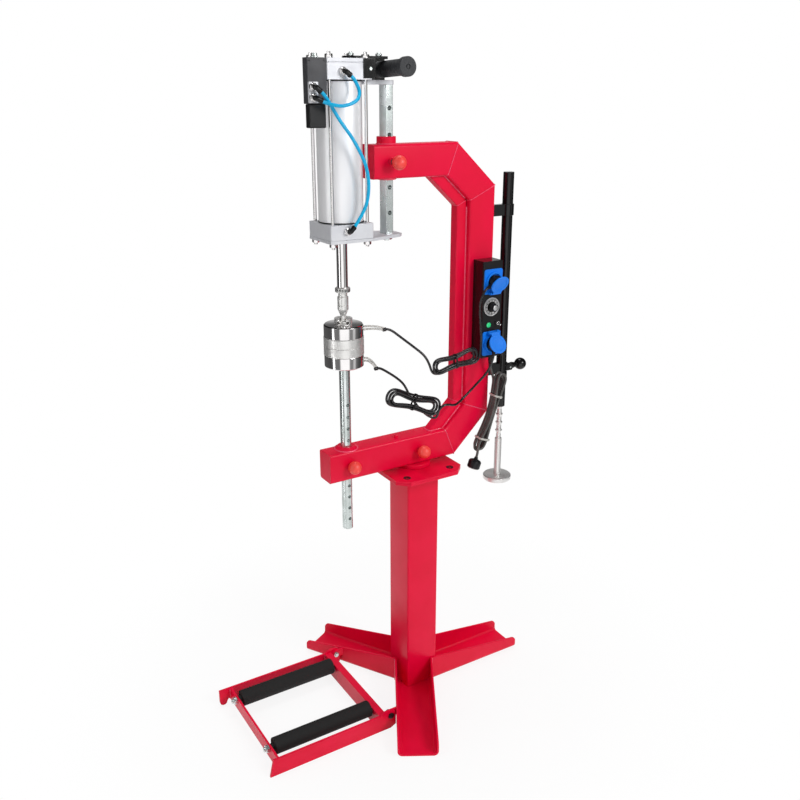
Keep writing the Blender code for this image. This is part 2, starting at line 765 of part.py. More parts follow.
def leg(name, material, turn, with_lug):
    """An upward channel with tapering walls, mitred against its neighbours round the column."""
    stations = [None, LEG_LENGTH - LEG_TIP_RADIUS]
    for i in range(1, LEG_TIP_STEPS + 1):
        stations.append(LEG_LENGTH - LEG_TIP_RADIUS * (1 - math.sin(math.pi / 2 * i / LEG_TIP_STEPS)))
    loops = []
    for station in stations:
        loop = []
        for side, top in ((-LEG_OUTER, 0), (LEG_OUTER, 0), (LEG_OUTER, 1), (LEG_INNER, 1),
                          (LEG_INNER, 0), (-LEG_INNER, 0), (-LEG_INNER, 1), (-LEG_OUTER, 1)):
            reach = station if station is not None else abs(side) * MITRE_SHARE
            run = min((reach - LEG_OUTER * MITRE_SHARE) / (LEG_LENGTH - LEG_TIP_RADIUS), 1)
            height = LEG_ROOT_HEIGHT + (LEG_TIP_HEIGHT - LEG_ROOT_HEIGHT) * run
            past = max(reach - (LEG_LENGTH - LEG_TIP_RADIUS), 0)
            height -= LEG_TIP_RADIUS - math.sqrt(max(LEG_TIP_RADIUS**2 - past**2, 0))
            low = 0 if abs(side) == LEG_OUTER else LEG_SHEET
            loop.append((reach, side, height if top else low))
        loops.append(loop)
    points, faces = loft(loops, caps=False)
    for start in (0, len(points) - len(loops[0])):
        faces.append(tuple(start + i for i in (1, 2, 3, 4)))
        faces.append(tuple(start + i for i in (0, 1, 4, 5)))
        faces.append(tuple(start + i for i in (0, 5, 6, 7)))
    piece = make(name, material, rotated((points, faces), turn, "Z", (0, 0, 0)))
    if with_lug:
        side = -1 if turn > math.pi else 1
        start = side * LUG_Y
        outline = circle((PIVOT_X, PIVOT_Z), LUG_RADIUS, FINE_SIDES, math.pi / 2, math.pi * 3 / 2)
        outline += [(PIVOT_X + LUG_REACH, PIVOT_Z - LUG_RADIUS), (PIVOT_X + LUG_REACH, PIVOT_Z + LUG_RADIUS)]
        fuse(piece, prism(outline, *sorted((start, start + side * LUG_SHEET)), "Y"))
        bore = circle((PIVOT_X, PIVOT_Z), PIVOT_BOLT_RADIUS + RUNNING_FIT, SMALL_SIDES)
        ends = sorted((start - side * OVERRUN, start + side * (LUG_SHEET + OVERRUN)))
        cut(piece, prism(bore, *ends, "Y"))
    return piece


def octagon(width, clip):
    """A square outline about the origin with clipped corners."""
    half = width / 2
    near = half - clip
    return [(half, -near), (half, near), (near, half), (-near, half),
            (-half, near), (-half, -near), (-near, -half), (near, -half)]


def bolt_places():
    return [(sx * PLATE_BOLT_X, sy * PLATE_BOLT_Y) for sx in (-1, 1) for sy in (-1, 1)]


def build_base(paint, zinc, washer_steel):
    """Legs, column, swivel plate with its bolts, thrust washer and the roller frame's two pivot bolts."""
    rear = leg("leg_rear", paint, 0, False)
    hub_corner = (LEG_INNER * MITRE_SHARE - HUB_FIT, LEG_INNER - HUB_FIT)
    hub = [(-2 * hub_corner[0], 0), (hub_corner[0], -hub_corner[1]), (HUB_REACH, -hub_corner[1]),
           (HUB_REACH, hub_corner[1]), hub_corner]
    fuse(rear, prism(hub, 0, LEG_SHEET, "Z"))
    leg("leg_front", paint, math.tau * 2 / LEG_COUNT, True)
    leg("leg_back", paint, math.tau / LEG_COUNT, True)

    half = COLUMN_WIDTH / 2
    inner = half - COLUMN_WALL
    plate_z = COLUMN_TOP_Z - PLATE_SHEET
    column = make("column", paint, block((-half, -half, COLUMN_FOOT_Z), (half, half, plate_z + WELD_BITE)))
    cut(column, block((-inner, -inner, COLUMN_FOOT_Z - OVERRUN), (inner, inner, plate_z - FIT)))
    fuse(column, prism(octagon(PLATE_WIDTH, PLATE_CLIP), plate_z, COLUMN_TOP_Z, "Z"))

    plate = make("swivel_plate", paint, prism(octagon(PLATE_WIDTH, PLATE_CLIP), SWIVEL_PLATE_Z, SWIVEL_TOP_Z, "Z"))
    pin_top = SWIVEL_TOP_Z + KINGPIN_HEIGHT
    fuse(plate, turned([(KINGPIN_RADIUS, SWIVEL_TOP_Z - WELD_BITE), (KINGPIN_RADIUS, pin_top - PIN_CHAMFER),
                        (KINGPIN_RADIUS - PIN_CHAMFER, pin_top)], (0, 0), "Z"))
    cut(plate, turned([(PIN_RADIUS + RUNNING_FIT, -KINGPIN_RADIUS - OVERRUN), (PIN_RADIUS + RUNNING_FIT, 0)],
                      (0, LOWER_ARM_Z), "Y", SMALL_SIDES))

    hole = PLATE_BOLT_RADIUS + RUNNING_FIT
    nut_z = plate_z - FIT
    shank = PLATE_BOLT_RADIUS
    through = [(hole, plate_z - OVERRUN), (hole, COLUMN_TOP_Z + OVERRUN)]
    cut(column, *[turned(through, centre, "Z", SMALL_SIDES) for centre in bolt_places()])
    head = PLATE_BOLT_HEAD_RADIUS
    sink = [(head, SWIVEL_TOP_Z - PLATE_BOLT_SINK), (head, SWIVEL_TOP_Z + OVERRUN)]
    cut(plate, *[turned(sink, centre, "Z", SMALL_SIDES) for centre in bolt_places()])
    profile = [(PLATE_NUT_RADIUS, nut_z - PLATE_NUT_HEIGHT), (PLATE_NUT_RADIUS, nut_z), (shank, nut_z),
               (shank, SWIVEL_PLATE_Z + WELD_BITE)]
    fuse(plate, *[turned(profile, centre, "Z", HOLE_SIDES) for centre in bolt_places()])

    make("thrust_washer", washer_steel, turned(
        [(KINGPIN_BORE, WASHER_Z), (WASHER_RADIUS, WASHER_Z), (WASHER_RADIUS, WASHER_Z + WASHER_HEIGHT),
         (KINGPIN_BORE, WASHER_Z + WASHER_HEIGHT)], (0, 0), "Z", ring=True))

    ear = FRAME_HALF
    bolt = [(PIVOT_BOLT_RADIUS, LUG_Y - FIT - PIVOT_HEAD_HEIGHT - BOLT_TAIL),
            (PIVOT_BOLT_RADIUS, LUG_Y - FIT - PIVOT_HEAD_HEIGHT),
            (PIVOT_HEAD_RADIUS, LUG_Y - FIT - PIVOT_HEAD_HEIGHT), (PIVOT_HEAD_RADIUS, LUG_Y - FIT),
            (PIVOT_BOLT_RADIUS, LUG_Y - FIT), (PIVOT_BOLT_RADIUS, ear + FIT),
            (PIVOT_HEAD_RADIUS, ear + FIT), (PIVOT_HEAD_RADIUS, ear + FIT + PIVOT_HEAD_HEIGHT)]
    far_bolt = turned(bolt, (PIVOT_X, PIVOT_Z), "Y", FINE_SIDES)
    make("pivot_bolt_back", zinc, far_bolt)
    make("pivot_bolt_front", zinc, mirrored(far_bolt, 1, 0))


def side_plate(hooked):
    """The outline of a roller frame side plate, in x and z."""
    ear = circle((PIVOT_X, PIVOT_Z), EAR_RADIUS, FINE_SIDES // 2, 0, math.pi / 2)
    outline = [(PIVOT_X, 0), (PIVOT_X + EAR_RADIUS, PIVOT_Z - EAR_DROP)] + ear
    outline += [(PIVOT_X - EAR_RADIUS, PIVOT_Z + EAR_RADIUS), (RIGHT_BAR_X, FRAME_HEIGHT)]
    if hooked:
        outline += [(HOOK_LEFT_X, FRAME_HEIGHT)]
        hook = (HOOK_LEFT_X + HOOK_RADIUS, HOOK_RADIUS)
        outline += circle(hook, HOOK_RADIUS, FINE_SIDES // 2, math.pi, math.tau)
        outline += [(FRAME_LEFT_X - HOOK_RADIUS / 2, HOOK_NOTCH_HEIGHT), (FRAME_LEFT_X + HOOK_RADIUS, 0)]
    else:
        outline += [(FRAME_LEFT_X - HOOK_RADIUS, FRAME_HEIGHT), (FRAME_LEFT_X - 2 * HOOK_RADIUS, 0)]
    return outline


def build_roller_frame(paint, rubber, zinc):
    """The welded frame, its two axles and its two rollers."""
    inside = FRAME_HALF - FRAME_SHEET
    frame = make("roller_frame", paint,
                 prism(side_plate(True), inside, FRAME_HALF, "Y"),
                 prism(side_plate(False), -FRAME_HALF, -inside, "Y"))
    reach = inside + FRAME_SHEET / 2
    top = FRAME_HEIGHT - FIT
    left = rectangle((FRAME_LEFT_X, LEFT_BAR_FOOT_Z), (FRAME_LEFT_X + FRAME_SHEET, top))
    right = [(RIGHT_BAR_X, FIT), (RIGHT_BAR_X + FRAME_SHEET, FIT),
             (RIGHT_BAR_X + FRAME_SHEET, top - FRAME_SHEET),
             (RIGHT_BAR_X + RIGHT_BAR_WIDTH, top - FRAME_SHEET), (RIGHT_BAR_X + RIGHT_BAR_WIDTH, top),
             (RIGHT_BAR_X, top)]
    fuse(frame, prism(left, -reach, reach, "Y"), prism(right, -reach, reach, "Y"))
    bore = circle((PIVOT_X, PIVOT_Z), PIVOT_BOLT_RADIUS + RUNNING_FIT, SMALL_SIDES)
    cut(frame, prism(bore, -FRAME_HALF - OVERRUN, FRAME_HALF + OVERRUN, "Y"))
    axle_hole = AXLE_RADIUS + RUNNING_FIT
    low = FRAME_LEFT_X - OVERRUN
    high = RIGHT_BAR_X + FRAME_SHEET + OVERRUN
    cut(frame, *[turned([(axle_hole, low), (axle_hole, high)], (y, ROLLER_Z), "X", SMALL_SIDES)
                 for y in (-ROLLER_Y, ROLLER_Y)])

    nut = FRAME_LEFT_X - FIT
    flange = RIGHT_BAR_X + FRAME_SHEET - FIT
    profile = [(AXLE_RADIUS, nut - AXLE_NUT_HEIGHT - AXLE_TAIL), (AXLE_RADIUS, nut - AXLE_NUT_HEIGHT),
               (AXLE_NUT_RADIUS, nut - AXLE_NUT_HEIGHT), (AXLE_NUT_RADIUS, nut), (AXLE_RADIUS, nut),
               (AXLE_RADIUS, flange)]
    axles = [make(name, zinc, turned(profile, (y, ROLLER_Z), "X", FINE_SIDES))
             for name, y in (("axle_front", -ROLLER_Y), ("axle_back", ROLLER_Y))]
    rollers = []
    bore = AXLE_RADIUS + RUNNING_FIT
    face_left = ROLLER_LEFT_X + ROLLER_HUB_LENGTH
    face_right = ROLLER_RIGHT_X - ROLLER_HUB_LENGTH / 2
    skin = [(bore, ROLLER_LEFT_X), (ROLLER_HUB_RADIUS, ROLLER_LEFT_X), (ROLLER_HUB_RADIUS, face_left),
            (ROLLER_RADIUS - ROLLER_EDGE, face_left), (ROLLER_RADIUS, face_left + ROLLER_EDGE),
            (ROLLER_RADIUS, face_right - ROLLER_EDGE), (ROLLER_RADIUS - ROLLER_EDGE, face_right),
            (ROLLER_HUB_RADIUS, face_right), (ROLLER_HUB_RADIUS, ROLLER_RIGHT_X), (bore, ROLLER_RIGHT_X)]
    for name, y in (("roller_front", -ROLLER_Y), ("roller_back", ROLLER_Y)):
        rollers.append(make(name, rubber, turned(skin, (y, ROLLER_Z), "X", ROUND_SIDES, ring=True)))
    return frame, axles, rollers


def build_c_frame(paint):
    """The bent box tube with its three sleeves, and the stiffener along its inside."""
    frame = make("c_frame", paint, box_tube(FRAME_PATH, TUBE_DEPTH, TUBE_WIDTH, TUBE_CORNER))
    inner_path = list(FRAME_PATH)
    inner_path[0] = (LOWER_ARM_END_X + TUBE_WALL, LOWER_ARM_Z)
    inner_path[-1] = (UPPER_ARM_END_X + TUBE_WALL, UPPER_ARM_Z)
    wall = 2 * TUBE_WALL
    cut(frame, box_tube(inner_path, TUBE_DEPTH - wall, TUBE_WIDTH - wall, 0))

    post_sleeve = POST_BORE + SLEEVE_WALL
    collar = ARM_TOP_Z + LOWER_COLLAR_HEIGHT
    lower = turned([(post_sleeve, ARM_UNDER_Z - SLEEVE_LIP), (post_sleeve, ARM_TOP_Z - WELD_BITE),
                    (LOWER_COLLAR_RADIUS, ARM_TOP_Z - WELD_BITE), (LOWER_COLLAR_RADIUS, ARM_TOP_Z + FIT),
                    (LOWER_COLLAR_NECK, collar)], (RAM_X, 0), "Z")
    kingpin = turned([(KINGPIN_SLEEVE_RADIUS, ARM_UNDER_Z + WELD_BITE),
                      (KINGPIN_SLEEVE_RADIUS, ARM_TOP_Z - WELD_BITE)], (0, 0), "Z")
    upper = turned([(UPPER_COLLAR_RADIUS, UPPER_ARM_UNDER_Z - SLEEVE_LIP),
                    (UPPER_COLLAR_RADIUS, UPPER_ARM_TOP_Z + UPPER_COLLAR_HEIGHT)], (HEX_X, 0), "Z")
    fuse(frame, lower, kingpin, upper)

    kingpin_top = SWIVEL_TOP_Z + KINGPIN_HEIGHT + TIP_FIT
    cut(frame,
        turned([(POST_BORE, ARM_UNDER_Z - SLEEVE_LIP - OVERRUN), (POST_BORE, collar + OVERRUN)], (RAM_X, 0), "Z"),
        turned([(KINGPIN_BORE, ARM_UNDER_Z - OVERRUN), (KINGPIN_BORE, kingpin_top)], (0, 0), "Z"),
        prism(hexagon((HEX_X, 0), HEX_BORE), UPPER_ARM_UNDER_Z - SLEEVE_LIP - OVERRUN,
              UPPER_ARM_TOP_Z + UPPER_COLLAR_HEIGHT + OVERRUN, "Z"))
    hole = PIN_RADIUS + RUNNING_FIT
    start = TUBE_FACE_Y - OVERRUN
    cut(frame,
        turned([(hole, start), (hole, -POST_RADIUS)], (RAM_X, LOWER_ARM_Z), "Y", SMALL_SIDES),
        turned([(hole, start), (hole, -POST_RADIUS)], (0, LOWER_ARM_Z), "Y", SMALL_SIDES),
        turned([(hole, start), (hole, -POST_RADIUS)], (HEX_X, UPPER_ARM_Z), "Y", SMALL_SIDES))

    offset = (TUBE_DEPTH + STIFFENER_WIDTH) / 2 + FIT
    mitres = frame_normals(FRAME_PATH)
    corners = [Vector(FRAME_PATH[i]) + mitres[i] * offset for i in (1, 2, 3, 4)]
    foot = corners[0] + (corners[1] - corners[0]) * (
        (ARM_TOP_Z + FIT - corners[0].y) / (corners[1].y - corners[0].y))
    head = corners[3] + (corners[2] - corners[3]) * (
        (UPPER_ARM_UNDER_Z - FIT - corners[3].y) / (corners[2].y - corners[3].y))
    path = [tuple(foot), tuple(corners[1]), tuple(corners[2]), tuple(head)]
    stiffener = make("inner_stiffener", paint,
                     box_tube(path, STIFFENER_WIDTH, STIFFENER_WIDTH, STIFFENER_CORNER, flat_ends=True))
    return [frame, stiffener]


def lock_pin(name, material, centre, tip_radius, ball_reach):
    """A pin with a ball on its end, its tip just short of the post that it locks."""
    tip = -tip_radius - TIP_FIT
    ball = TUBE_FACE_Y - ball_reach
    neck = math.asin(PIN_RADIUS / PIN_BALL_RADIUS)
    profile = ball_profile(ball, PIN_BALL_RADIUS, 0, math.pi - neck)
    profile += [(PIN_RADIUS, tip - PIN_CHAMFER), (PIN_RADIUS - PIN_CHAMFER, tip)]
    return make(name, material, turned(profile, centre, "Y", SMALL_SIDES))


def heater_body(foot, top):
    """Profile of a heater between its rubbing face and its back, with a wider ring at the face."""
    way = 1 if top > foot else -1
    ring = foot + way * HEATER_RING_HEIGHT
    return [(HEATER_RING_RADIUS - HEATER_CHAMFER / 2, foot), (HEATER_RING_RADIUS, foot + way * HEATER_CHAMFER / 2),
            (HEATER_RING_RADIUS, ring), (HEATER_RADIUS, ring + way * FIT),
            (HEATER_RADIUS, top - way * HEATER_CHAMFER), (HEATER_RADIUS - HEATER_CHAMFER, top)]


def lead_sleeves(name, material, z, reach, fall):
    """Two sleeves that come out of a heater's side and draw together."""
    near_y = LEAD_SLEEVE_Y + LEAD_SLEEVE_RADIUS
    start = RAM_X + math.sqrt(HEATER_RADIUS**2 - near_y**2) + FIT
    shapes = []
    for side in (1, -1):
        loops = []
        for i in range(LEAD_SLEEVE_STEPS + 1):
            share = i / LEAD_SLEEVE_STEPS
            gap = LEAD_SLEEVE_GAP + (LEAD_SLEEVE_JOIN - LEAD_SLEEVE_GAP) * share
            centre = (LEAD_SLEEVE_Y, z + side * gap / 2 - fall * share * share)
            x = start + (RAM_X + HEATER_RADIUS + reach - start) * share
            loops.append([place(flat, x, "X") for flat in circle(centre, LEAD_SLEEVE_RADIUS, FINE_SIDES // 2)])
        shapes.append(loft(loops))
    piece = make(name, material, *shapes)
    end = RAM_X + HEATER_RADIUS + reach
    fuse(piece, turned([(LEAD_COLLAR_RADIUS, end - LEAD_COLLAR_LENGTH), (LEAD_COLLAR_RADIUS, end + LEAD_COLLAR_LENGTH / 2)],
                       (LEAD_SLEEVE_Y, z - fall), "X", FINE_SIDES))
    return piece


def build_lower_post(zinc, chrome, white):
    """The drilled post with the lower heater and its sleeves."""
    top = HEATER_FOOT_Z - FIT
    foot = ARM_UNDER_Z - POST_DROP
    post = make("lower_post", zinc, turned(
        [(POST_RADIUS - PIN_CHAMFER, foot), (POST_RADIUS, foot + PIN_CHAMFER), (POST_RADIUS, top)],
        (RAM_X, 0), "Z"))
    holes = []
    for i in range(POST_HOLE_COUNT):
        z = top - POST_TOP_MARGIN - i * POST_HOLE_PITCH
        ends = [(POST_HOLE_RADIUS, -POST_RADIUS - OVERRUN), (POST_HOLE_RADIUS, POST_RADIUS + OVERRUN)]
        holes.append(turned(ends, (RAM_X, z), "Y", HOLE_SIDES))
    cut(post, *holes)
    heater = make("lower_heater", chrome,
                  turned(heater_body(SEAM_Z - FIT / 2, HEATER_FOOT_Z), (RAM_X, 0), "Z", ROUND_SIDES))
    sleeves = lead_sleeves("lower_lead_sleeves", white, SEAM_Z - LOWER_SLEEVE_DROP, LOWER_SLEEVE_REACH - HEATER_RADIUS,
                           LOWER_SLEEVE_FALL)
    return [post, heater, sleeves]


def build_ram(chrome, steel, white):
    """Rod with its piston, coupling, upper heater and its sleeves."""
    piston_z = BARREL_Z + PISTON_START
    rod_foot = COUPLING_TOP_Z + FIT
    centre = (RAM_X, 0)
    radius = BARREL_RADIUS - BARREL_WALL - RUNNING_FIT
    nut_z = piston_z + PISTON_HEIGHT
    rod = make("piston_rod", chrome, turned(
        [(ROD_RADIUS, rod_foot), (ROD_RADIUS, piston_z), (radius - PIN_CHAMFER, piston_z),
         (radius, piston_z + PIN_CHAMFER), (radius, nut_z - PIN_CHAMFER), (radius - PIN_CHAMFER, nut_z),
         (PISTON_NUT_RADIUS, nut_z), (PISTON_NUT_RADIUS, nut_z + PISTON_NUT_HEIGHT)], centre, "Z"))
    ring_z = COUPLING_TOP_Z - LOCK_RING_HEIGHT
    neck_z = ring_z - LOCK_NECK_HEIGHT
    body_z = neck_z - COUPLING_HEIGHT
    taper_z = body_z - COUPLING_TAPER
    foot_z = CUP_FLOOR_Z + FIT
    coupling = make("rod_coupling", steel, turned(
        [(COUPLING_FOOT_RADIUS, foot_z), (COUPLING_FOOT_RADIUS, foot_z + COUPLING_FOOT_HEIGHT),
         (COUPLING_TIP_RADIUS, foot_z + COUPLING_FOOT_HEIGHT), (COUPLING_TIP_RADIUS, taper_z),
         (COUPLING_RADIUS, body_z), (COUPLING_RADIUS, neck_z - PIN_CHAMFER),
         (COUPLING_RADIUS - PIN_CHAMFER, neck_z), (LOCK_NECK_RADIUS, neck_z), (LOCK_NECK_RADIUS, ring_z),
         (LOCK_RING_RADIUS - PIN_CHAMFER, ring_z), (LOCK_RING_RADIUS, ring_z + PIN_CHAMFER),
         (LOCK_RING_RADIUS, COUPLING_TOP_Z - PIN_CHAMFER), (LOCK_RING_RADIUS - PIN_CHAMFER, COUPLING_TOP_Z)],
        centre, "Z"))
    cup_top = HEATER_TOP_Z + CUP_HEIGHT
    body = heater_body(UPPER_HEATER_Z, HEATER_TOP_Z) + [(CUP_RADIUS, HEATER_TOP_Z), (CUP_RADIUS, cup_top)]
    heater = make("upper_heater", chrome, turned(body, centre, "Z"))
    slot_top = CUP_FLOOR_Z + CUP_SLOT_HEIGHT
    for half, low, high in ((CUP_FOOT_RADIUS, CUP_FLOOR_Z, slot_top), (CUP_NECK_RADIUS, slot_top - FIT, cup_top + OVERRUN)):
        arc = circle(centre, half, FINE_SIDES, 0, math.pi)
        outline = arc + [(RAM_X - half, -CUP_RADIUS - OVERRUN), (RAM_X + half, -CUP_RADIUS - OVERRUN)]
        cut(heater, prism(outline, low, high, "Z"))
    sleeves = lead_sleeves("upper_lead_sleeves", white, SEAM_Z + UPPER_SLEEVE_RISE, UPPER_SLEEVE_REACH,
                           UPPER_SLEEVE_FALL)
    return [rod, coupling, heater, sleeves]


def tie_rod_places():
    return [(RAM_X + sx * TIE_ROD_OFFSET, sy * TIE_ROD_OFFSET) for sx in (-1, 1) for sy in (-1, 1)]


TIE_ROD_NAMES = ("outer_front", "outer_back", "inner_front", "inner_back")


def elbow(centre, angle, face):
    """A boss on a face towards -Y, and a tube socket that leaves it in the x-z plane at an angle."""
    reach = face - ELBOW_REACH
    flat_boss = turned([(ELBOW_BOSS_RADIUS, face + WELD_BITE), (ELBOW_BOSS_RADIUS, face - ELBOW_BOSS_HEIGHT),
                        (ELBOW_BODY_RADIUS, face - ELBOW_BOSS_HEIGHT),
                        (ELBOW_BODY_RADIUS, reach - ELBOW_BODY_RADIUS)], centre, "Y", FINE_SIDES)
    x, z = centre
    arm = turned([(ELBOW_BODY_RADIUS, z), (ELBOW_BODY_RADIUS, z + ELBOW_SOCKET_LENGTH)], (x, reach), "Z", FINE_SIDES)
    return flat_boss, rotated(arm, math.pi / 2 - angle, "Y", (x, reach, z))


def elbow_mouth(centre, angle, face):
    """The middle of an elbow's tube socket."""
    reach = ELBOW_SOCKET_LENGTH + FIT
    return (centre[0] + reach * math.cos(angle), face - ELBOW_REACH, centre[1] + reach * math.sin(angle))


TOP_PORT = (RAM_X + TOP_PORT_DX, TOP_CAP_Z + TOP_PORT_RISE)
BOTTOM_PORT = (RAM_X + BOTTOM_PORT_DX, CYLINDER_FOOT_Z + BOTTOM_PORT_RISE)
VALVE_LEFT_X = CAP_LEFT_X - VALVE_FIT - VALVE_WIDTH
PORT_FACE_Y = -CAP_HALF - PORT_THICK
VALVE_PORTS = ((VALVE_LEFT_X + VALVE_PORT_INSET, CAP_TOP_Z - VALVE_PORT_UPPER_DROP),
               (VALVE_LEFT_X + VALVE_PORT_INSET, CAP_TOP_Z - VALVE_PORT_LOWER_DROP))
TOP_PORT_ANGLE = math.radians(-38)
BOTTOM_PORT_ANGLE = math.radians(48)
VALVE_PORT_ANGLES = (math.radians(-40), math.radians(-24))


def build_head(zinc, cast, barrel_finish, steel, black, valve_black, rubber):
    """The cylinder with its hexagonal post, brackets, grip, valve and elbows."""
    centre = (RAM_X, 0)
    cap = rounded(rectangle((CAP_LEFT_X, -CAP_HALF), (CAP_RIGHT_X, CAP_HALF)), CAP_CORNER)
    bottom = make("bottom_cap", cast, prism(cap, CYLINDER_FOOT_Z, BARREL_Z - FIT, "Z"))
    top = make("top_cap", cast, prism(cap, TOP_CAP_Z, CAP_TOP_Z, "Z"))
    inner = BARREL_RADIUS - BARREL_WALL
    barrel = make("barrel", barrel_finish, turned(
        [(inner, BARREL_Z), (BARREL_RADIUS, BARREL_Z), (BARREL_RADIUS, TOP_CAP_Z - FIT),
         (inner, TOP_CAP_Z - FIT)], centre, "Z", ring=True))

    end_half = BRACKET_END_HALF
    plate = [(CAP_LEFT_X, -CAP_HALF), (CAP_RIGHT_X, -CAP_HALF), (BRACKET_END_X - BRACKET_END_CLIP, -end_half),
             (BRACKET_END_X, -end_half + BRACKET_END_CLIP), (BRACKET_END_X, end_half - BRACKET_END_CLIP),
             (BRACKET_END_X - BRACKET_END_CLIP, end_half), (CAP_RIGHT_X, CAP_HALF), (CAP_LEFT_X, CAP_HALF)]
    bracket = make("bottom_bracket", cast, prism(plate, BRACKET_UNDER_Z, BRACKET_TOP_Z, "Z"))
    nut = [(BRACKET_NUT_RADIUS, BRACKET_UNDER_Z + WELD_BITE), (BRACKET_NUT_RADIUS, BRACKET_UNDER_Z - BRACKET_NUT_HEIGHT)]
    fuse(bracket, turned(nut, (HEX_X, 0), "Z", 6))
    rod_hole = ROD_RADIUS + RUNNING_FIT
    tie_hole = TIE_ROD_RADIUS + RUNNING_FIT
    low = BRACKET_UNDER_Z - OVERRUN
    high = CAP_TOP_Z + OVERRUN
    cut(bracket, turned([(rod_hole, low), (rod_hole, BARREL_Z + OVERRUN)], centre, "Z"),
        *[turned([(tie_hole, low), (tie_hole, high)], place_xy, "Z", FINE_SIDES) for place_xy in tie_rod_places()])
    cut(bottom, turned([(rod_hole, low), (rod_hole, BARREL_Z + OVERRUN)], centre, "Z"),
        *[turned([(tie_hole, low), (tie_hole, high)], place_xy, "Z", FINE_SIDES) for place_xy in tie_rod_places()])
    cut(top, *[turned([(tie_hole, low), (tie_hole, high)], place_xy, "Z", FINE_SIDES) for place_xy in tie_rod_places()])

    nut_low = BRACKET_UNDER_Z - FIT
    nut_high = CAP_TOP_Z + FIT
    tie = [(TIE_ROD_RADIUS, nut_low - TIE_NUT_HEIGHT - TIE_ROD_TAIL), (TIE_ROD_RADIUS, nut_low - TIE_NUT_HEIGHT),
           (TIE_NUT_RADIUS, nut_low - TIE_NUT_HEIGHT), (TIE_NUT_RADIUS, nut_low), (TIE_ROD_RADIUS, nut_low),
           (TIE_ROD_RADIUS, nut_high), (TIE_NUT_RADIUS, nut_high), (TIE_NUT_RADIUS, nut_high + TIE_NUT_HEIGHT),
           (TIE_ROD_RADIUS, nut_high + TIE_NUT_HEIGHT), (TIE_ROD_RADIUS, nut_high + TIE_NUT_HEIGHT + TIE_ROD_TAIL)]
    ties = [make(f"tie_rod_{name}", zinc, turned(tie, place_xy, "Z", FINE_SIDES))
            for name, place_xy in zip(TIE_ROD_NAMES, tie_rod_places())]

    post = make("hex_post", zinc, prism(hexagon((HEX_X, 0), HEX_ACROSS), BRACKET_TOP_Z + FIT, HEX_TOP_Z, "Z"))
    holes = []
    for i in range(HEX_HOLE_COUNT):
        z = UPPER_ARM_Z + (HEX_HOLE_COUNT // 2 - i) * HEX_HOLE_PITCH
        ends = [(HEX_HOLE_RADIUS, -HEX_ACROSS), (HEX_HOLE_RADIUS, HEX_ACROSS)]
        holes.append(turned(ends, (HEX_X, z), "Y", HOLE_SIDES))
    cut(post, *holes)
    strip = rounded(rectangle((CAP_RIGHT_X + FIT, -TOP_BRACKET_HALF), (HEX_X + TOP_BRACKET_MARGIN, TOP_BRACKET_HALF)),
                    [0, TIE_NUT_RADIUS, TIE_NUT_RADIUS, 0])
    fuse(post, prism(strip, HEX_TOP_Z - WELD_BITE, HEX_TOP_Z + TOP_BRACKET_SHEET, "Z"))

    block_x = CAP_RIGHT_X + FIT
    block_z = HEX_TOP_Z + TOP_BRACKET_SHEET + FIT
    foot_x = GRIP_X + GRIP_FOOT_MARGIN
    foot_y = GRIP_FAR_Y + GRIP_RADIUS * math.sin(GRIP_TILT) + FIT
    outline = [(block_x, GRIP_BLOCK_NEAR_Y), (block_x + GRIP_BLOCK_WIDTH, GRIP_BLOCK_NEAR_Y),
               (block_x + GRIP_BLOCK_WIDTH, foot_y), (foot_x, foot_y), (foot_x, foot_y + GRIP_FOOT_THICK),
               (block_x, foot_y + GRIP_FOOT_THICK)]
    grip_bracket = make("grip_bracket", black, prism(outline, block_z, CAP_TOP_Z + FIT + WELD_BITE, "Z"))
    bar = rectangle((GRIP_BAR_START_X, -GRIP_BAR_HALF), (block_x + GRIP_BLOCK_WIDTH, GRIP_BAR_HALF))
    fuse(grip_bracket, prism(bar, CAP_TOP_Z + FIT, CAP_TOP_Z + FIT + GRIP_BAR_SHEET, "Z"))
    core = turned([(GRIP_CORE_RADIUS, GRIP_NEAR_Y + GRIP_CORE_MARGIN), (GRIP_CORE_RADIUS, foot_y + WELD_BITE)],
                  (GRIP_X, GRIP_Z), "Y", SMALL_SIDES)
    tilt_centre = (GRIP_X, GRIP_FAR_Y, GRIP_Z)
    fuse(grip_bracket, rotated(core, -GRIP_TILT, "X", tilt_centre))
    bolt_z = CAP_TOP_Z + FIT + GRIP_BAR_SHEET
    bolt = [(GRIP_BOLT_RADIUS, bolt_z - WELD_BITE), (GRIP_BOLT_RADIUS, bolt_z + GRIP_BOLT_HEIGHT)]
    fuse(grip_bracket, turned(bolt, (CAP_RIGHT_X - GRIP_BOLT_INSET, 0), "Z", 6),
         turned(bolt, (CAP_RIGHT_X + GRIP_BOLT_INSET, 0), "Z", 6))
    bore = GRIP_CORE_RADIUS + FIT
    bore_end = GRIP_NEAR_Y + GRIP_CORE_MARGIN - FIT
    sleeve = turned(
        [(0, GRIP_NEAR_Y), (GRIP_END_RADIUS - PIN_CHAMFER, GRIP_NEAR_Y), (GRIP_END_RADIUS, GRIP_NEAR_Y + PIN_CHAMFER),
         (GRIP_END_RADIUS, GRIP_NEAR_Y + GRIP_END_LENGTH - PIN_CHAMFER),
         (GRIP_RADIUS, GRIP_NEAR_Y + GRIP_END_LENGTH), (GRIP_RADIUS, GRIP_FAR_Y - PIN_CHAMFER),
         (GRIP_RADIUS - PIN_CHAMFER, GRIP_FAR_Y - FIT), (bore, GRIP_FAR_Y - FIT), (bore, bore_end), (0, bore_end)],
        (GRIP_X, GRIP_Z), "Y")
    grip = make("grip", rubber, rotated(sleeve, -GRIP_TILT, "X", tilt_centre))

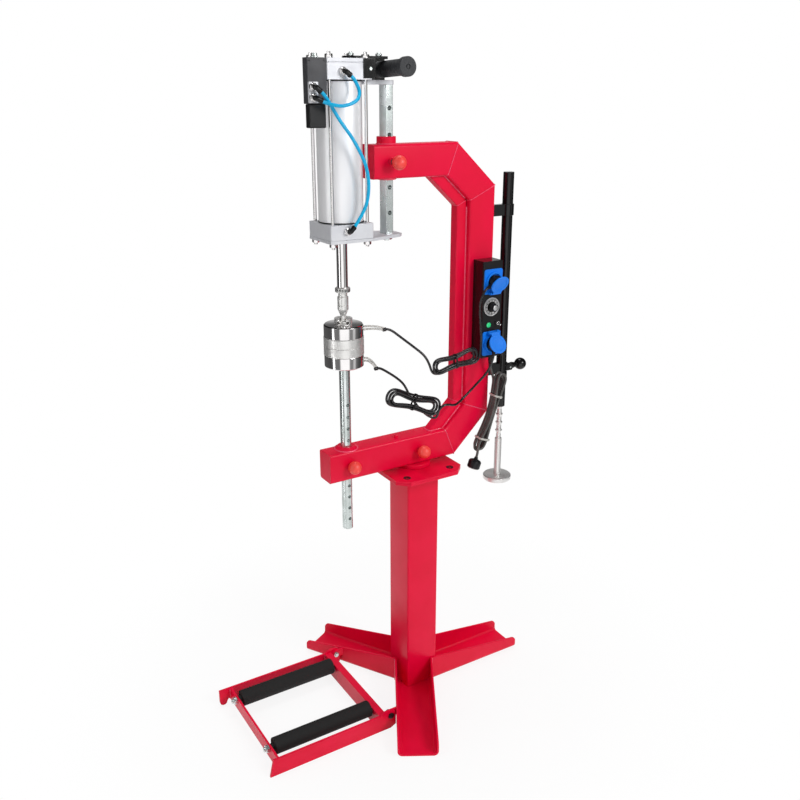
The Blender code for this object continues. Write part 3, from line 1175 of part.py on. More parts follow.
    valve_right = CAP_LEFT_X - VALVE_FIT
    valve_z = CAP_TOP_Z - VALVE_HEIGHT
    valve = make("valve", valve_black, block((VALVE_LEFT_X, -CAP_HALF, valve_z),
                                             (valve_right, -CAP_HALF + VALVE_THICK, CAP_TOP_Z)))
    fuse(valve, block((VALVE_LEFT_X + COIL_INSET, -CAP_HALF + COIL_INSET / 2, valve_z - COIL_HEIGHT),
                      (valve_right - COIL_INSET, -CAP_HALF + VALVE_THICK - COIL_INSET / 2, valve_z + WELD_BITE)))
    port_top = CAP_TOP_Z - PORT_DROP
    fuse(valve, block((VALVE_LEFT_X - FIT, PORT_FACE_Y, port_top - PORT_HEIGHT),
                      (VALVE_LEFT_X + PORT_WIDTH, -CAP_HALF + WELD_BITE, port_top)))
    for piece, port_place, angle, face in (
            (top, TOP_PORT, TOP_PORT_ANGLE, -CAP_HALF),
            (bottom, BOTTOM_PORT, BOTTOM_PORT_ANGLE, -CAP_HALF),
            (valve, VALVE_PORTS[0], VALVE_PORT_ANGLES[0], PORT_FACE_Y),
            (valve, VALVE_PORTS[1], VALVE_PORT_ANGLES[1], PORT_FACE_Y)):
        for shape in elbow(port_place, angle, face):
            fuse(piece, shape)
    return [bottom, top, barrel, bracket, post, grip_bracket, grip, valve] + ties


def build_air_tubes(blue):
    """The two tubes from the valve to the ends of the cylinder."""
    upper = elbow_mouth(VALVE_PORTS[0], VALVE_PORT_ANGLES[0], PORT_FACE_Y)
    lower = elbow_mouth(VALVE_PORTS[1], VALVE_PORT_ANGLES[1], PORT_FACE_Y)
    top = elbow_mouth(TOP_PORT, TOP_PORT_ANGLE, -CAP_HALF)
    bottom = elbow_mouth(BOTTOM_PORT, BOTTOM_PORT_ANGLE, -CAP_HALF)
    long_route = [upper, ahead(upper, VALVE_PORT_ANGLES[0])] + LONG_TUBE_POINTS
    long_route += [ahead(bottom, BOTTOM_PORT_ANGLE), bottom]
    short_route = [lower, ahead(lower, VALVE_PORT_ANGLES[1])] + SHORT_TUBE_POINTS
    short_route += [ahead(top, TOP_PORT_ANGLE), top]
    tubes = []
    for name, route in (("air_tube_long", long_route), ("air_tube_short", short_route)):
        tubes.append(cord(name, blue, smooth_route(route, AIR_TUBE_RADIUS * 4), AIR_TUBE_RADIUS, 2))
    return tubes


def ahead(mouth, angle):
    """A point one tube diameter straight out of an elbow."""
    reach = 2 * AIR_TUBE_RADIUS
    return (mouth[0] + reach * math.cos(angle), mouth[1], mouth[2] + reach * math.sin(angle))


LONG_TUBE_POINTS = [
    (-0.2700, -0.0740, TOP_CAP_Z - 53 * MM),
    (-0.2480, -0.0760, TOP_CAP_Z - 87 * MM),
    (-0.2200, -0.0840, BARREL_Z + 0.600 * BARREL_LENGTH),
    (-0.1920, -0.0880, BARREL_Z + 0.428 * BARREL_LENGTH),
    (-0.1830, -0.0860, BARREL_Z + 0.287 * BARREL_LENGTH),
    (-0.1880, -0.0820, BARREL_Z + 0.146 * BARREL_LENGTH),
]
SHORT_TUBE_POINTS = [
    (-0.2730, -0.0930, TOP_CAP_Z - 52.5 * MM),
    (-0.2560, -0.0990, TOP_CAP_Z - 55 * MM),
    (-0.2350, -0.1010, TOP_CAP_Z - 51 * MM),
    (-0.2150, -0.0980, TOP_CAP_Z - 41 * MM),
    (-0.2040, -0.0850, TOP_CAP_Z - 23 * MM),
]


def socket(name, material, z, up):
    """A panel socket with a ring round its well and two ears for the flap."""
    half_width = SOCKET_WIDTH / 2
    half_height = SOCKET_HEIGHT / 2
    flange = rounded(rectangle((SOCKET_X - half_width, z - half_height), (SOCKET_X + half_width, z + half_height)),
                     SOCKET_CORNER)
    piece = make(name, material, prism(flange, SOCKET_FACE_Y, SOCKET_BACK_Y, "Y"))
    ring = turned([(SOCKET_RING_RADIUS, SOCKET_FACE_Y + WELD_BITE), (SOCKET_RING_RADIUS, SOCKET_FACE_Y - SOCKET_RING_HEIGHT),
                   (SOCKET_RING_RADIUS - SOCKET_RING_WALL, SOCKET_FACE_Y - SOCKET_RING_HEIGHT),
                   (SOCKET_RING_RADIUS - SOCKET_RING_WALL, SOCKET_FACE_Y + WELD_BITE)],
                  (SOCKET_X, z), "Y", ROUND_SIDES, ring=True)
    body = turned([(SOCKET_BODY_RADIUS - SOCKET_RING_WALL / 2, SOCKET_BACK_Y - WELD_BITE),
                   (SOCKET_BODY_RADIUS - SOCKET_RING_WALL / 2, SOCKET_BACK_Y + SOCKET_BODY_DEPTH)],
                  (SOCKET_X, z), "Y", SMALL_SIDES)
    fuse(piece, ring)
    fuse(piece, body)
    hinge_z = z + up * HINGE_RISE
    outline = circle((HINGE_Y, hinge_z), HINGE_RADIUS, FINE_SIDES // 2, math.pi / 2, math.pi * 3 / 2)
    outline += [(SOCKET_FACE_Y + WELD_BITE, hinge_z - HINGE_RADIUS), (SOCKET_FACE_Y + WELD_BITE, hinge_z + HINGE_RADIUS)]
    near = HINGE_HALF + FIT
    ears = [prism(outline, SOCKET_X + near, SOCKET_X + near + EAR_THICK, "X"),
            prism(outline, SOCKET_X - near - EAR_THICK, SOCKET_X - near, "X")]
    fuse(piece, *ears)
    return piece


def flap(name, material, z, up):
    """A round flap on a hinge barrel, leaning out over the plug."""
    hinge_z = z + up * HINGE_RISE
    centre_z = hinge_z - up * FLAP_CENTRE
    inner = HINGE_Y - FLAP_OFFSET
    outer = inner - FLAP_SHEET
    disc = turned([(FLAP_RADIUS, inner), (FLAP_RADIUS, outer + PIN_CHAMFER), (FLAP_RADIUS - PIN_CHAMFER, outer)],
                  (SOCKET_X, centre_z), "Y")
    tab_ends = sorted((hinge_z, centre_z + up * FLAP_RADIUS / 2))
    tab = block((SOCKET_X - HINGE_HALF, outer + FIT, tab_ends[0]), (SOCKET_X + HINGE_HALF, inner - FIT, tab_ends[1]))
    barrel = turned([(HINGE_RADIUS, SOCKET_X - HINGE_HALF), (HINGE_RADIUS, SOCKET_X + HINGE_HALF)],
                    (HINGE_Y, hinge_z), "X", FINE_SIDES)
    hinge = (SOCKET_X, HINGE_Y, hinge_z)
    tilt = -up * FLAP_TILT
    piece = make(name, material, rotated(disc, tilt, "X", hinge))
    fuse(piece, rotated(tab, tilt, "X", hinge))
    fuse(piece, barrel)
    return piece


def plug(name, material, z, angle):
    """A round plug in its socket, with a cord nozzle to one side."""
    front = PLUG_BACK_Y - PLUG_REACH
    body = turned([(PLUG_RADIUS, PLUG_BACK_Y), (PLUG_RADIUS, front + PLUG_CHAMFER), (PLUG_RADIUS - PLUG_CHAMFER, front)],
                  (SOCKET_X, z), "Y")
    nozzle = turned([(NOZZLE_RADIUS, z), (NOZZLE_RADIUS, z + NOZZLE_REACH)], (SOCKET_X, NOZZLE_Y), "Z", FINE_SIDES)
    piece = make(name, material, body)
    fuse(piece, rotated(nozzle, math.pi / 2 - angle, "Y", (SOCKET_X, NOZZLE_Y, z)))
    return piece


def nozzle_mouth(z, angle, reach=0):
    """A point on a plug nozzle's axis, past its mouth by the reach."""
    length = NOZZLE_REACH + FIT + reach
    return (SOCKET_X + length * math.cos(angle), NOZZLE_Y, z + length * math.sin(angle))


def build_control_box(box_black, panel_black, silver, knob_black, green, socket_blue, plug_black):
    """The box, its panel and what the panel carries."""
    right = BOX_LEFT_X + BOX_WIDTH
    top = BOX_BOTTOM_Z + BOX_HEIGHT
    box = make("control_box", box_black, block((BOX_LEFT_X, BOX_FRONT_Y, BOX_BOTTOM_Z), (right, BOX_BACK_Y, top)))
    cut(box, block((BOX_LEFT_X + BOX_WALL, BOX_FRONT_Y - OVERRUN, BOX_BOTTOM_Z + BOX_WALL),
                   (right - BOX_WALL, BOX_BACK_Y - BOX_WALL, top - BOX_WALL)))
    gland = turned([(GLAND_RADIUS, BOX_BOTTOM_Z + BOX_WALL / 2), (GLAND_RADIUS, BOX_BOTTOM_Z - GLAND_LENGTH)],
                   (GLAND_X, GLAND_Y), "Z", FINE_SIDES)
    fuse(box, gland)

    panel = make("control_panel", panel_black, block((BOX_LEFT_X, PANEL_FRONT_Y, BOX_BOTTOM_Z),
                                                     (right, BOX_FRONT_Y - FIT, top)))
    front = PANEL_FRONT_Y - OVERRUN
    behind = BOX_FRONT_Y + OVERRUN
    holes = [(TIMER_NECK_RADIUS + FIT, (TIMER_X, TIMER_Z)), (LAMP_NECK_RADIUS + FIT, (LAMP_X, LAMP_Z))]
    body = SOCKET_BODY_RADIUS - SOCKET_RING_WALL / 2 + FIT
    holes += [(body, (SOCKET_X, UPPER_SOCKET_Z)), (body, (SOCKET_X, LOWER_SOCKET_Z))]
    cut(panel, *[turned([(radius, front), (radius, behind)], centre, "Y", ROUND_SIDES) for radius, centre in holes])
    bush = [(TOGGLE_BUSH_BORE, PANEL_FRONT_Y + WELD_BITE / 2), (TOGGLE_BUSH_BORE, PANEL_FRONT_Y - TOGGLE_BUSH_HEIGHT),
            (TOGGLE_BUSH_RADIUS, PANEL_FRONT_Y - TOGGLE_BUSH_HEIGHT), (TOGGLE_BUSH_RADIUS, PANEL_FRONT_Y + WELD_BITE / 2)]
    fuse(panel, turned(bush, (TOGGLE_X, TOGGLE_Z), "Y", SMALL_SIDES, ring=True))

    bezel = PANEL_FRONT_Y - FIT
    timer_body = BOX_FRONT_Y + FIT
    timer = make("timer", silver, turned(
        [(TIMER_BEZEL_RADIUS - PIN_CHAMFER, bezel - TIMER_BEZEL_HEIGHT), (TIMER_BEZEL_RADIUS, bezel - TIMER_BEZEL_HEIGHT + PIN_CHAMFER),
         (TIMER_BEZEL_RADIUS, bezel), (TIMER_NECK_RADIUS, bezel), (TIMER_NECK_RADIUS, timer_body + WELD_BITE)],
        (TIMER_X, TIMER_Z), "Y"))
    half = TIMER_BODY_WIDTH / 2
    fuse(timer, block((TIMER_X - half, timer_body, TIMER_Z - half),
                      (TIMER_X + half, timer_body + TIMER_BODY_DEPTH, TIMER_Z + half)))
    knob_back = bezel - TIMER_BEZEL_HEIGHT - FIT
    outline = []
    for i in range(2 * KNOB_FLUTES):
        radius = KNOB_RADIUS if i % 2 else KNOB_RADIUS - KNOB_FLUTE_DEPTH
        angle = math.pi * i / KNOB_FLUTES
        outline.append((TIMER_X + radius * math.cos(angle), TIMER_Z + radius * math.sin(angle)))
    knob = make("dial_knob", knob_black, prism(outline, knob_back - KNOB_HEIGHT, knob_back, "Y"))

    lamp = make("indicator_lamp", green, turned(
        [(0, bezel - LAMP_RISE), (LAMP_RADIUS * math.sin(math.pi / 4), bezel - LAMP_RISE * math.cos(math.pi / 4)),
         (LAMP_RADIUS, bezel), (LAMP_NECK_RADIUS, bezel), (LAMP_NECK_RADIUS, bezel + LAMP_NECK_LENGTH)],
        (LAMP_X, LAMP_Z), "Y", SMALL_SIDES))

    pivot = PANEL_FRONT_Y - FIT
    lever = turned([(TOGGLE_NECK_RADIUS, pivot), (TOGGLE_NECK_RADIUS, pivot - TOGGLE_BUSH_HEIGHT),
                    (TOGGLE_TIP_RADIUS, pivot - TOGGLE_REACH + TOGGLE_TIP_RADIUS),
                    (TOGGLE_TIP_RADIUS - PIN_CHAMFER, pivot - TOGGLE_REACH)], (TOGGLE_X, TOGGLE_Z), "Y", FINE_SIDES)
    toggle = make("toggle_lever", silver, rotated(lever, TOGGLE_TILT, "X", (TOGGLE_X, pivot, TOGGLE_Z)))

    upper_socket = socket("socket_upper", socket_blue, UPPER_SOCKET_Z, -1)
    lower_socket = socket("socket_lower", socket_blue, LOWER_SOCKET_Z, 1)
    upper_flap = flap("flap_upper", socket_blue, UPPER_SOCKET_Z, -1)
    lower_flap = flap("flap_lower", socket_blue, LOWER_SOCKET_Z, 1)
    upper_plug = plug("plug_upper", plug_black, UPPER_SOCKET_Z, UPPER_NOZZLE_ANGLE)
    lower_plug = plug("plug_lower", plug_black, LOWER_SOCKET_Z, LOWER_NOZZLE_ANGLE)
    fixed = [box, panel, timer, lamp, upper_socket, lower_socket, upper_plug, lower_plug]
    return fixed, knob, toggle, upper_flap, lower_flap


def build_ratchet_post(black, steel):
    """The slotted tube behind the spine, its toothed rod and its pawl lever."""
    centre = (RATCHET_X, 0)
    tube = make("ratchet_tube", black, turned(
        [(0, RATCHET_TOP_Z), (RATCHET_RADIUS - PIN_CHAMFER, RATCHET_TOP_Z), (RATCHET_RADIUS, RATCHET_TOP_Z - PIN_CHAMFER),
         (RATCHET_RADIUS, RATCHET_FOOT_Z), (RATCHET_BORE, RATCHET_FOOT_Z), (RATCHET_BORE, RATCHET_TOP_Z - RATCHET_CAP),
         (0, RATCHET_TOP_Z - RATCHET_CAP)], centre, "Z", SMALL_SIDES))
    pad_x = SPINE_BACK_X + FIT
    reach = RATCHET_X - RATCHET_BORE
    pads = []
    necks = []
    for z in (LEVER_Z, UPPER_PAD_Z):
        pads.append(block((pad_x, -RATCHET_PAD_HALF, z - RATCHET_PAD_HEIGHT / 2),
                          (pad_x + RATCHET_PAD_THICK, RATCHET_PAD_HALF, z + RATCHET_PAD_HEIGHT / 2)))
        necks.append(block((pad_x + RATCHET_PAD_THICK / 2, -RATCHET_NECK_HALF, z - RATCHET_NECK_HEIGHT / 2),
                           (reach - RATCHET_WALL_BITE, RATCHET_NECK_HALF, z + RATCHET_NECK_HEIGHT / 2)))
    fuse(tube, *necks)
    fuse(tube, *pads)
    ear_near = LEVER_ROOT_RADIUS + FIT
    ears = []
    for side in (1, -1):
        ends = sorted((side * ear_near, side * (ear_near + LEVER_EAR_THICK)))
        outline = rounded(rectangle((RATCHET_X + EAR_BITE, LEVER_Z - LEVER_EAR_HALF),
                                    (RATCHET_X + LEVER_EAR_REACH, LEVER_Z + LEVER_EAR_HALF)),
                          [0, LEVER_PIN_RADIUS, LEVER_PIN_RADIUS, 0])
        ears.append(prism(outline, *ends, "Y"))
    fuse(tube, *ears)
    far = ear_near + LEVER_EAR_THICK + OVERRUN
    pin_hole = LEVER_PIN_RADIUS + RUNNING_FIT
    cut(tube, turned([(pin_hole, -far), (pin_hole, far)], (LEVER_PIVOT_X, LEVER_Z), "Y", FINE_SIDES),
        block((RATCHET_X + RATCHET_CORE_RADIUS, -PAWL_HALF - TIP_FIT, LEVER_Z - PAWL_SLOT_HALF),
              (RATCHET_X + RATCHET_RADIUS + OVERRUN, PAWL_HALF + TIP_FIT, LEVER_Z + PAWL_SLOT_HALF)))

    ball_x = RATCHET_X + LEVER_BALL_REACH
    neck = math.asin(LEVER_END_RADIUS / LEVER_BALL_RADIUS)
    profile = [(LEVER_ROOT_RADIUS - PIN_CHAMFER, RATCHET_X + LEVER_START_REACH),
               (LEVER_ROOT_RADIUS, RATCHET_X + LEVER_START_REACH + PIN_CHAMFER)]
    profile += ball_profile(ball_x, LEVER_BALL_RADIUS, neck, math.pi)
    lever = make("pawl_lever", black, turned(profile, (0, LEVER_Z), "X", SMALL_SIDES))
    pin_reach = ear_near + LEVER_EAR_THICK
    fuse(lever, turned([(LEVER_PIN_RADIUS, -pin_reach), (LEVER_PIN_RADIUS, pin_reach)],
                       (LEVER_PIVOT_X, LEVER_Z), "Y", FINE_SIDES))
    fuse(lever, block((RATCHET_X + PAWL_REACH, -PAWL_HALF, LEVER_Z - PAWL_HALF),
                      (RATCHET_X + LEVER_START_REACH + WELD_BITE, PAWL_HALF, LEVER_Z + PAWL_HALF)))

    disc_top = ROD_FOOT_Z + DISC_HEIGHT
    profile = [(DISC_RADIUS - DISC_CHAMFER, ROD_FOOT_Z), (DISC_RADIUS, ROD_FOOT_Z + DISC_CHAMFER),
               (DISC_RADIUS, disc_top - DISC_CHAMFER), (DISC_RADIUS - DISC_CHAMFER, disc_top),
               (RATCHET_ROD_RADIUS, disc_top), (RATCHET_ROD_RADIUS, SHOULDER_Z - PIN_CHAMFER),
               (RATCHET_ROD_RADIUS - PIN_CHAMFER, SHOULDER_Z), (RATCHET_CORE_RADIUS, SHOULDER_Z)]
    for i in range(TOOTH_COUNT):
        z = FIRST_TOOTH_Z + i * TOOTH_PITCH
        profile += [(RATCHET_CORE_RADIUS, z - TOOTH_SLOPE), (RATCHET_ROD_RADIUS, z + TOOTH_LAND),
                    (RATCHET_CORE_RADIUS, z + TOOTH_LAND)]
    rod_top = FIRST_TOOTH_Z + TOOTH_COUNT * TOOTH_PITCH
    profile += [(RATCHET_CORE_RADIUS, rod_top)]
    rod = make("ratchet_rod", steel, turned(profile, centre, "Z", SMALL_SIDES))
    return tube, lever, rod


RATCHET_WALL_BITE = 2.2 * MM
EAR_BITE = 8 * MM

UPPER_LEAD_POINTS = [
    (-0.0850, -0.0240, 1.0950),
    (-0.0600, -0.0420, 1.0720),
    (-0.0371, -0.0620, 1.0500),
    (-0.0180, -0.0760, 1.0300),
]
UPPER_TAIL_POINTS = [
    (0.1500, -0.0920, 1.0500),
    (0.1480, -0.0900, 1.0900),
    (0.1440, -0.0900, 1.1300),
    (0.1450, -0.0915, 1.1600),
]
LOWER_LEAD_POINTS = [
    (-0.0545, -0.0260, 0.9500),
    (-0.0370, -0.0400, 0.9100),
    (-0.0130, -0.0520, 0.8750),
    (0.0080, -0.0600, 0.8540),
    (0.0250, -0.0680, 0.8480),
]
LOWER_TAIL_POINTS = [
    (0.0400, -0.0840, 0.8880),
    (0.0600, -0.0820, 0.8840),
    (0.0850, -0.0740, 0.8770),
    (0.1200, -0.0640, 0.8900),
    (0.1600, -0.0640, 0.9200),
    (0.1850, -0.0780, 0.9550),
]
MAINS_LEAD_POINTS = [
    (0.2150, -0.0500, 0.9550),
    (0.2300, -0.0460, 0.9380),
]
MAINS_TAIL_POINTS = [
    (0.1660, -0.0760, 0.7200),
]


def build_cords(rubber, plug_black):
    """The two heater leads, the mains lead and the mains plug."""
    lead = 2 * LEAD_RADIUS
    mains = 2 * MAINS_RADIUS
    upper_loops = hank_points(UPPER_HANK_ENDS, UPPER_HANK_Y, UPPER_HANK_HALF_WIDTH, LEAD_RADIUS, 2, -1.75, 1.75)
    lower_loops = hank_points(LOWER_HANK_ENDS, LOWER_HANK_Y, LOWER_HANK_HALF_WIDTH, LEAD_RADIUS, 2, -2.25, 1.75)
    mains_loops = hank_points(MAINS_HANK_ENDS, MAINS_HANK_Y, MAINS_HANK_HALF_WIDTH, MAINS_RADIUS, 1, -0.25, 3.25)

    upper_plug = nozzle_mouth(UPPER_SOCKET_Z, UPPER_NOZZLE_ANGLE)
    upper_ahead = nozzle_mouth(UPPER_SOCKET_Z, UPPER_NOZZLE_ANGLE, lead)
    tail = smooth_route([upper_loops[-1]] + UPPER_TAIL_POINTS + [upper_ahead, upper_plug], ROUTE_STEP)
    upper_hank = upper_loops + tail[1:]
    lower_plug = nozzle_mouth(LOWER_SOCKET_Z, LOWER_NOZZLE_ANGLE)
    lower_ahead = nozzle_mouth(LOWER_SOCKET_Z, LOWER_NOZZLE_ANGLE, lead)
    tail = smooth_route([lower_loops[-1]] + LOWER_TAIL_POINTS + [lower_ahead, lower_plug], ROUTE_STEP)
    lower_hank = lower_loops + tail[1:]

    gland_z = BOX_BOTTOM_Z - GLAND_LENGTH - FIT
    start = [(GLAND_X, GLAND_Y, gland_z), (GLAND_X, GLAND_Y, gland_z - mains)]
    head = smooth_route(start + MAINS_LEAD_POINTS + [mains_loops[0]], ROUTE_STEP)
    tail = smooth_route([mains_loops[-1]] + MAINS_TAIL_POINTS + [MAINS_PLUG_TOP_AHEAD, MAINS_PLUG_TOP], ROUTE_STEP)
    mains_hank = head[:-1] + mains_loops + tail[1:]

    sleeve_end = RAM_X + HEATER_RADIUS + UPPER_SLEEVE_REACH + LEAD_COLLAR_LENGTH / 2 + FIT
    z = SEAM_Z + UPPER_SLEEVE_RISE - UPPER_SLEEVE_FALL
    upper_start = [(sleeve_end, LEAD_SLEEVE_Y, z), (sleeve_end + lead, LEAD_SLEEVE_Y, z)]
    upper_lead = smooth_route(upper_start + UPPER_LEAD_POINTS + end_before(upper_hank, lead), ROUTE_STEP)
    sleeve_end = RAM_X + LOWER_SLEEVE_REACH + LEAD_COLLAR_LENGTH / 2 + FIT
    z = SEAM_Z - LOWER_SLEEVE_DROP - LOWER_SLEEVE_FALL
    lower_start = [(sleeve_end, LEAD_SLEEVE_Y, z), (sleeve_end + lead, LEAD_SLEEVE_Y, z)]
    lower_lead = smooth_route(lower_start + LOWER_LEAD_POINTS + end_before(lower_hank, lead), ROUTE_STEP)

    pieces = [
        cord("upper_lead", rubber, upper_lead, LEAD_RADIUS, 2),
        cord("upper_hank", rubber, upper_hank, LEAD_RADIUS, 1),
        cord("lower_lead", rubber, lower_lead, LEAD_RADIUS, 2),
        cord("lower_hank", rubber, lower_hank, LEAD_RADIUS, 1),
        cord("mains_hank", rubber, mains_hank, MAINS_RADIUS, 1),
    ]
    for name, points, diameter in (("upper_hank", upper_hank, lead), ("lower_hank", lower_hank, lead),
                                   ("mains_hank", mains_hank, mains)):
        print(f"{name} least gap to itself: {least_gap(points, diameter) / MM:.2f} mm")

    x, y, z = MAINS_PLUG_TOP
    body = turned([(MAINS_PLUG_NECK, z - FIT), (MAINS_PLUG_NECK, z - FIT - MAINS_PLUG_NECK),
                   (MAINS_PLUG_RADIUS, z - FIT - 2 * MAINS_PLUG_NECK), (MAINS_PLUG_RADIUS, z - FIT - MAINS_PLUG_LENGTH)],
                  (x, y), "Z", SMALL_SIDES)
    pieces.append(make("mains_plug", plug_black, rotated(body, MAINS_PLUG_TURN, "Y", MAINS_PLUG_TOP)))
    return pieces


def end_before(points, straight):
    """A cord's last stretch, straight up to the face of the cord that starts at the first point."""
    start = Vector(points[0])
    way = (Vector(points[1]) - start).normalized()
    return [tuple(start - way * (FIT + straight)), tuple(start - way * FIT)]


MAINS_PLUG_TOP = (0.1600, -0.0740, 0.7080)
MAINS_PLUG_TURN = math.radians(20)
MAINS_PLUG_TOP_AHEAD = (MAINS_PLUG_TOP[0] + 2 * MAINS_RADIUS * math.sin(MAINS_PLUG_TURN), MAINS_PLUG_TOP[1],
                        MAINS_PLUG_TOP[2] + 2 * MAINS_RADIUS * math.cos(MAINS_PLUG_TURN))


def main():
    for item in list(bpy.data.objects):
        bpy.data.objects.remove(item)

    paint = finish("crimson paint", (0.78, 0.02, 0.05), 0.35, 0)
    zinc = finish("zinc plate", (0.62, 0.66, 0.68), 0.35, 1)
    chrome = finish("chrome", (0.82, 0.82, 0.84), 0.12, 1)
    steel = finish("bright steel", (0.7, 0.7, 0.72), 0.3, 1)
    cast = finish("machined aluminium", (0.62, 0.62, 0.68), 0.4, 1)
    barrel_finish = finish("anodised tube", (0.85, 0.85, 0.88), 0.3, 1)
    black = finish("black paint", (0.015, 0.015, 0.017), 0.35, 0)
    valve_black = finish("valve housing", (0.03, 0.03, 0.035), 0.5, 0)
    rubber = finish("black rubber", (0.02, 0.02, 0.02), 0.45, 0)
    roller_black = finish("roller skin", (0.01, 0.01, 0.01), 0.2, 0)
    white = finish("glass fibre sleeve", (0.75, 0.72, 0.68), 0.7, 0)
    blue_tube = finish("blue tube", (0.02, 0.4, 0.75), 0.3, 0)
    socket_blue = finish("blue socket", (0.01, 0.2, 0.8), 0.4, 0)
    silver = finish("silver dial", (0.7, 0.7, 0.7), 0.4, 1)
    green = finish("green lens", (0.02, 0.6, 0.3), 0.25, 0)
    red_ball = finish("red ball", (0.85, 0.08, 0.05), 0.2, 0)

    build_base(paint, zinc, steel)
    frame, axles, rollers = build_roller_frame(paint, roller_black, zinc)
    attach(joint_point("frame_fold_axis", (PIVOT_X, 0, PIVOT_Z)), [frame] + axles)
    for roller, y in zip(rollers, (-ROLLER_Y, ROLLER_Y)):
        attach(joint_point(f"{roller.name}_axis", (FRAME_LEFT_X, y, ROLLER_Z)), [roller])

    swivelling = build_c_frame(paint)
    box_pieces, knob, toggle, upper_flap, lower_flap = build_control_box(
        black, black, silver, black, green, socket_blue, black)
    tube, lever, rod = build_ratchet_post(black, steel)
    swivelling += box_pieces + [tube] + build_cords(rubber, black)
    attach(joint_point("swivel_axis", (0, 0, LOWER_ARM_Z)), swivelling)
    attach(joint_point("dial_axis", (TIMER_X, PANEL_FRONT_Y, TIMER_Z)), [knob])
    attach(joint_point("toggle_axis", (TOGGLE_X, PANEL_FRONT_Y - FIT, TOGGLE_Z)), [toggle])
    attach(joint_point("flap_upper_axis", (SOCKET_X, HINGE_Y, UPPER_SOCKET_Z - HINGE_RISE)), [upper_flap])
    attach(joint_point("flap_lower_axis", (SOCKET_X, HINGE_Y, LOWER_SOCKET_Z + HINGE_RISE)), [lower_flap])
    attach(joint_point("pawl_axis", (LEVER_PIVOT_X, 0, LEVER_Z)), [lever])
    attach(joint_point("ratchet_axis", (RATCHET_X, 0, ROD_FOOT_Z)), [rod])

    for name, centre, radius, reach in (
            ("lower_lock_pin", (RAM_X, LOWER_ARM_Z), POST_RADIUS, LOWER_BALL_REACH),
            ("swivel_lock_pin", (0, LOWER_ARM_Z), KINGPIN_RADIUS, SWIVEL_BALL_REACH),
            ("upper_lock_pin", (HEX_X, UPPER_ARM_Z), HEX_ACROSS / 2, UPPER_BALL_REACH)):
        pin = lock_pin(name, red_ball, centre, radius, reach)
        attach(joint_point(f"{name}_axis", (centre[0], TUBE_FACE_Y, centre[1])), [pin])

    attach(joint_point("lower_post_axis", (RAM_X, 0, LOWER_ARM_Z)), build_lower_post(zinc, chrome, white))
    head = build_head(zinc, cast, barrel_finish, steel, black, valve_black, rubber) + build_air_tubes(blue_tube)
    attach(joint_point("head_axis", (HEX_X, 0, UPPER_ARM_Z)), head)
    attach(joint_point("ram_axis", (RAM_X, 0, BARREL_Z)), build_ram(chrome, steel, white))


main()
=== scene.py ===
"""The dressed tire vulcanizer: fine surfaces, finishes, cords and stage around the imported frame."""

import math

import bmesh
import bpy
import numpy as np
from bpy.props import FloatProperty, FloatVectorProperty, PointerProperty
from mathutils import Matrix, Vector


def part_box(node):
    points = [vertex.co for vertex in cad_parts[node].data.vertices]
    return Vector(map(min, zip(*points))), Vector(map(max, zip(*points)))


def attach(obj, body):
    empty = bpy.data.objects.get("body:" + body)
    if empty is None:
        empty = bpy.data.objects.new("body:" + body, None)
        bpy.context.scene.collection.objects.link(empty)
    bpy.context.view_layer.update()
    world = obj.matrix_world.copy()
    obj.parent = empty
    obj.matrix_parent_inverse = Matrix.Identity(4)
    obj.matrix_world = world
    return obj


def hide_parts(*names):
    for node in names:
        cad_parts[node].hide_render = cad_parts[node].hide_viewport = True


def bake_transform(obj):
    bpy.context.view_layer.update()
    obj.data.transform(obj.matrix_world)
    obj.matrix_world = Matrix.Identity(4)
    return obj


bl_info = {
    "name": "Tire Vulcanizer",
    "version": (1, 0, 0),
    "blender": (4, 5, 0),
    "location": "View3D > Sidebar > Vulcanizer",
    "description": "Builds the pieces and finishes of a tire vulcanizer around its frame",
    "category": "Object",
}

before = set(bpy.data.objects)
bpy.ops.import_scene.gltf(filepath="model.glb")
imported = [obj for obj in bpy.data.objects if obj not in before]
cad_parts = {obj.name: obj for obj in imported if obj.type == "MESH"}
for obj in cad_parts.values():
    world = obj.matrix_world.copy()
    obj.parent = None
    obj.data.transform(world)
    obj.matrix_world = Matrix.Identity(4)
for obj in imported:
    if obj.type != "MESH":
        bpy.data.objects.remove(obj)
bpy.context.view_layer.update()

MM = 0.001
FIT = 0.3 * MM
SHARP_ANGLE = math.radians(35)
THIRD = math.tau / 3

# Camera, lamps and world
CAMERA_PLACE = (-1.2039, -1.8849, 1.6752)
CAMERA_TURN = (math.radians(90 - 19.49), 0, math.radians(-31.57))
CAMERA_LENS = 39.427
SENSOR_WIDTH = 36
LAMP_TARGET = Vector((0, 0, 0.9))
LAMPS = (("key_lamp", (1.1, -3.0, 2.6), 1.2, 1.0), ("side_lamp", (-3.2, -0.6, 2.2), 1.1, 0.14),
         ("top_lamp", (0.2, 0.6, 3.6), 1.1, 0.4))
WORLD_BANDS = ((0.005, 1.0), (0.016, 0.035), (0.1, 0.03), (0.122, 0.21), (0.25, 0.21), (0.272, 0.045),
               (0.318, 0.045), (0.332, 0.11), (0.356, 0.11), (0.38, 0.03), (0.44, 0.012), (0.6, 0.012),
               (0.63, 0.15), (0.69, 0.15), (0.72, 0.018), (0.95, 0.012), (0.984, 0.035))
BAND_STRENGTH = 6
FLOOR_RADIUS = 1.8

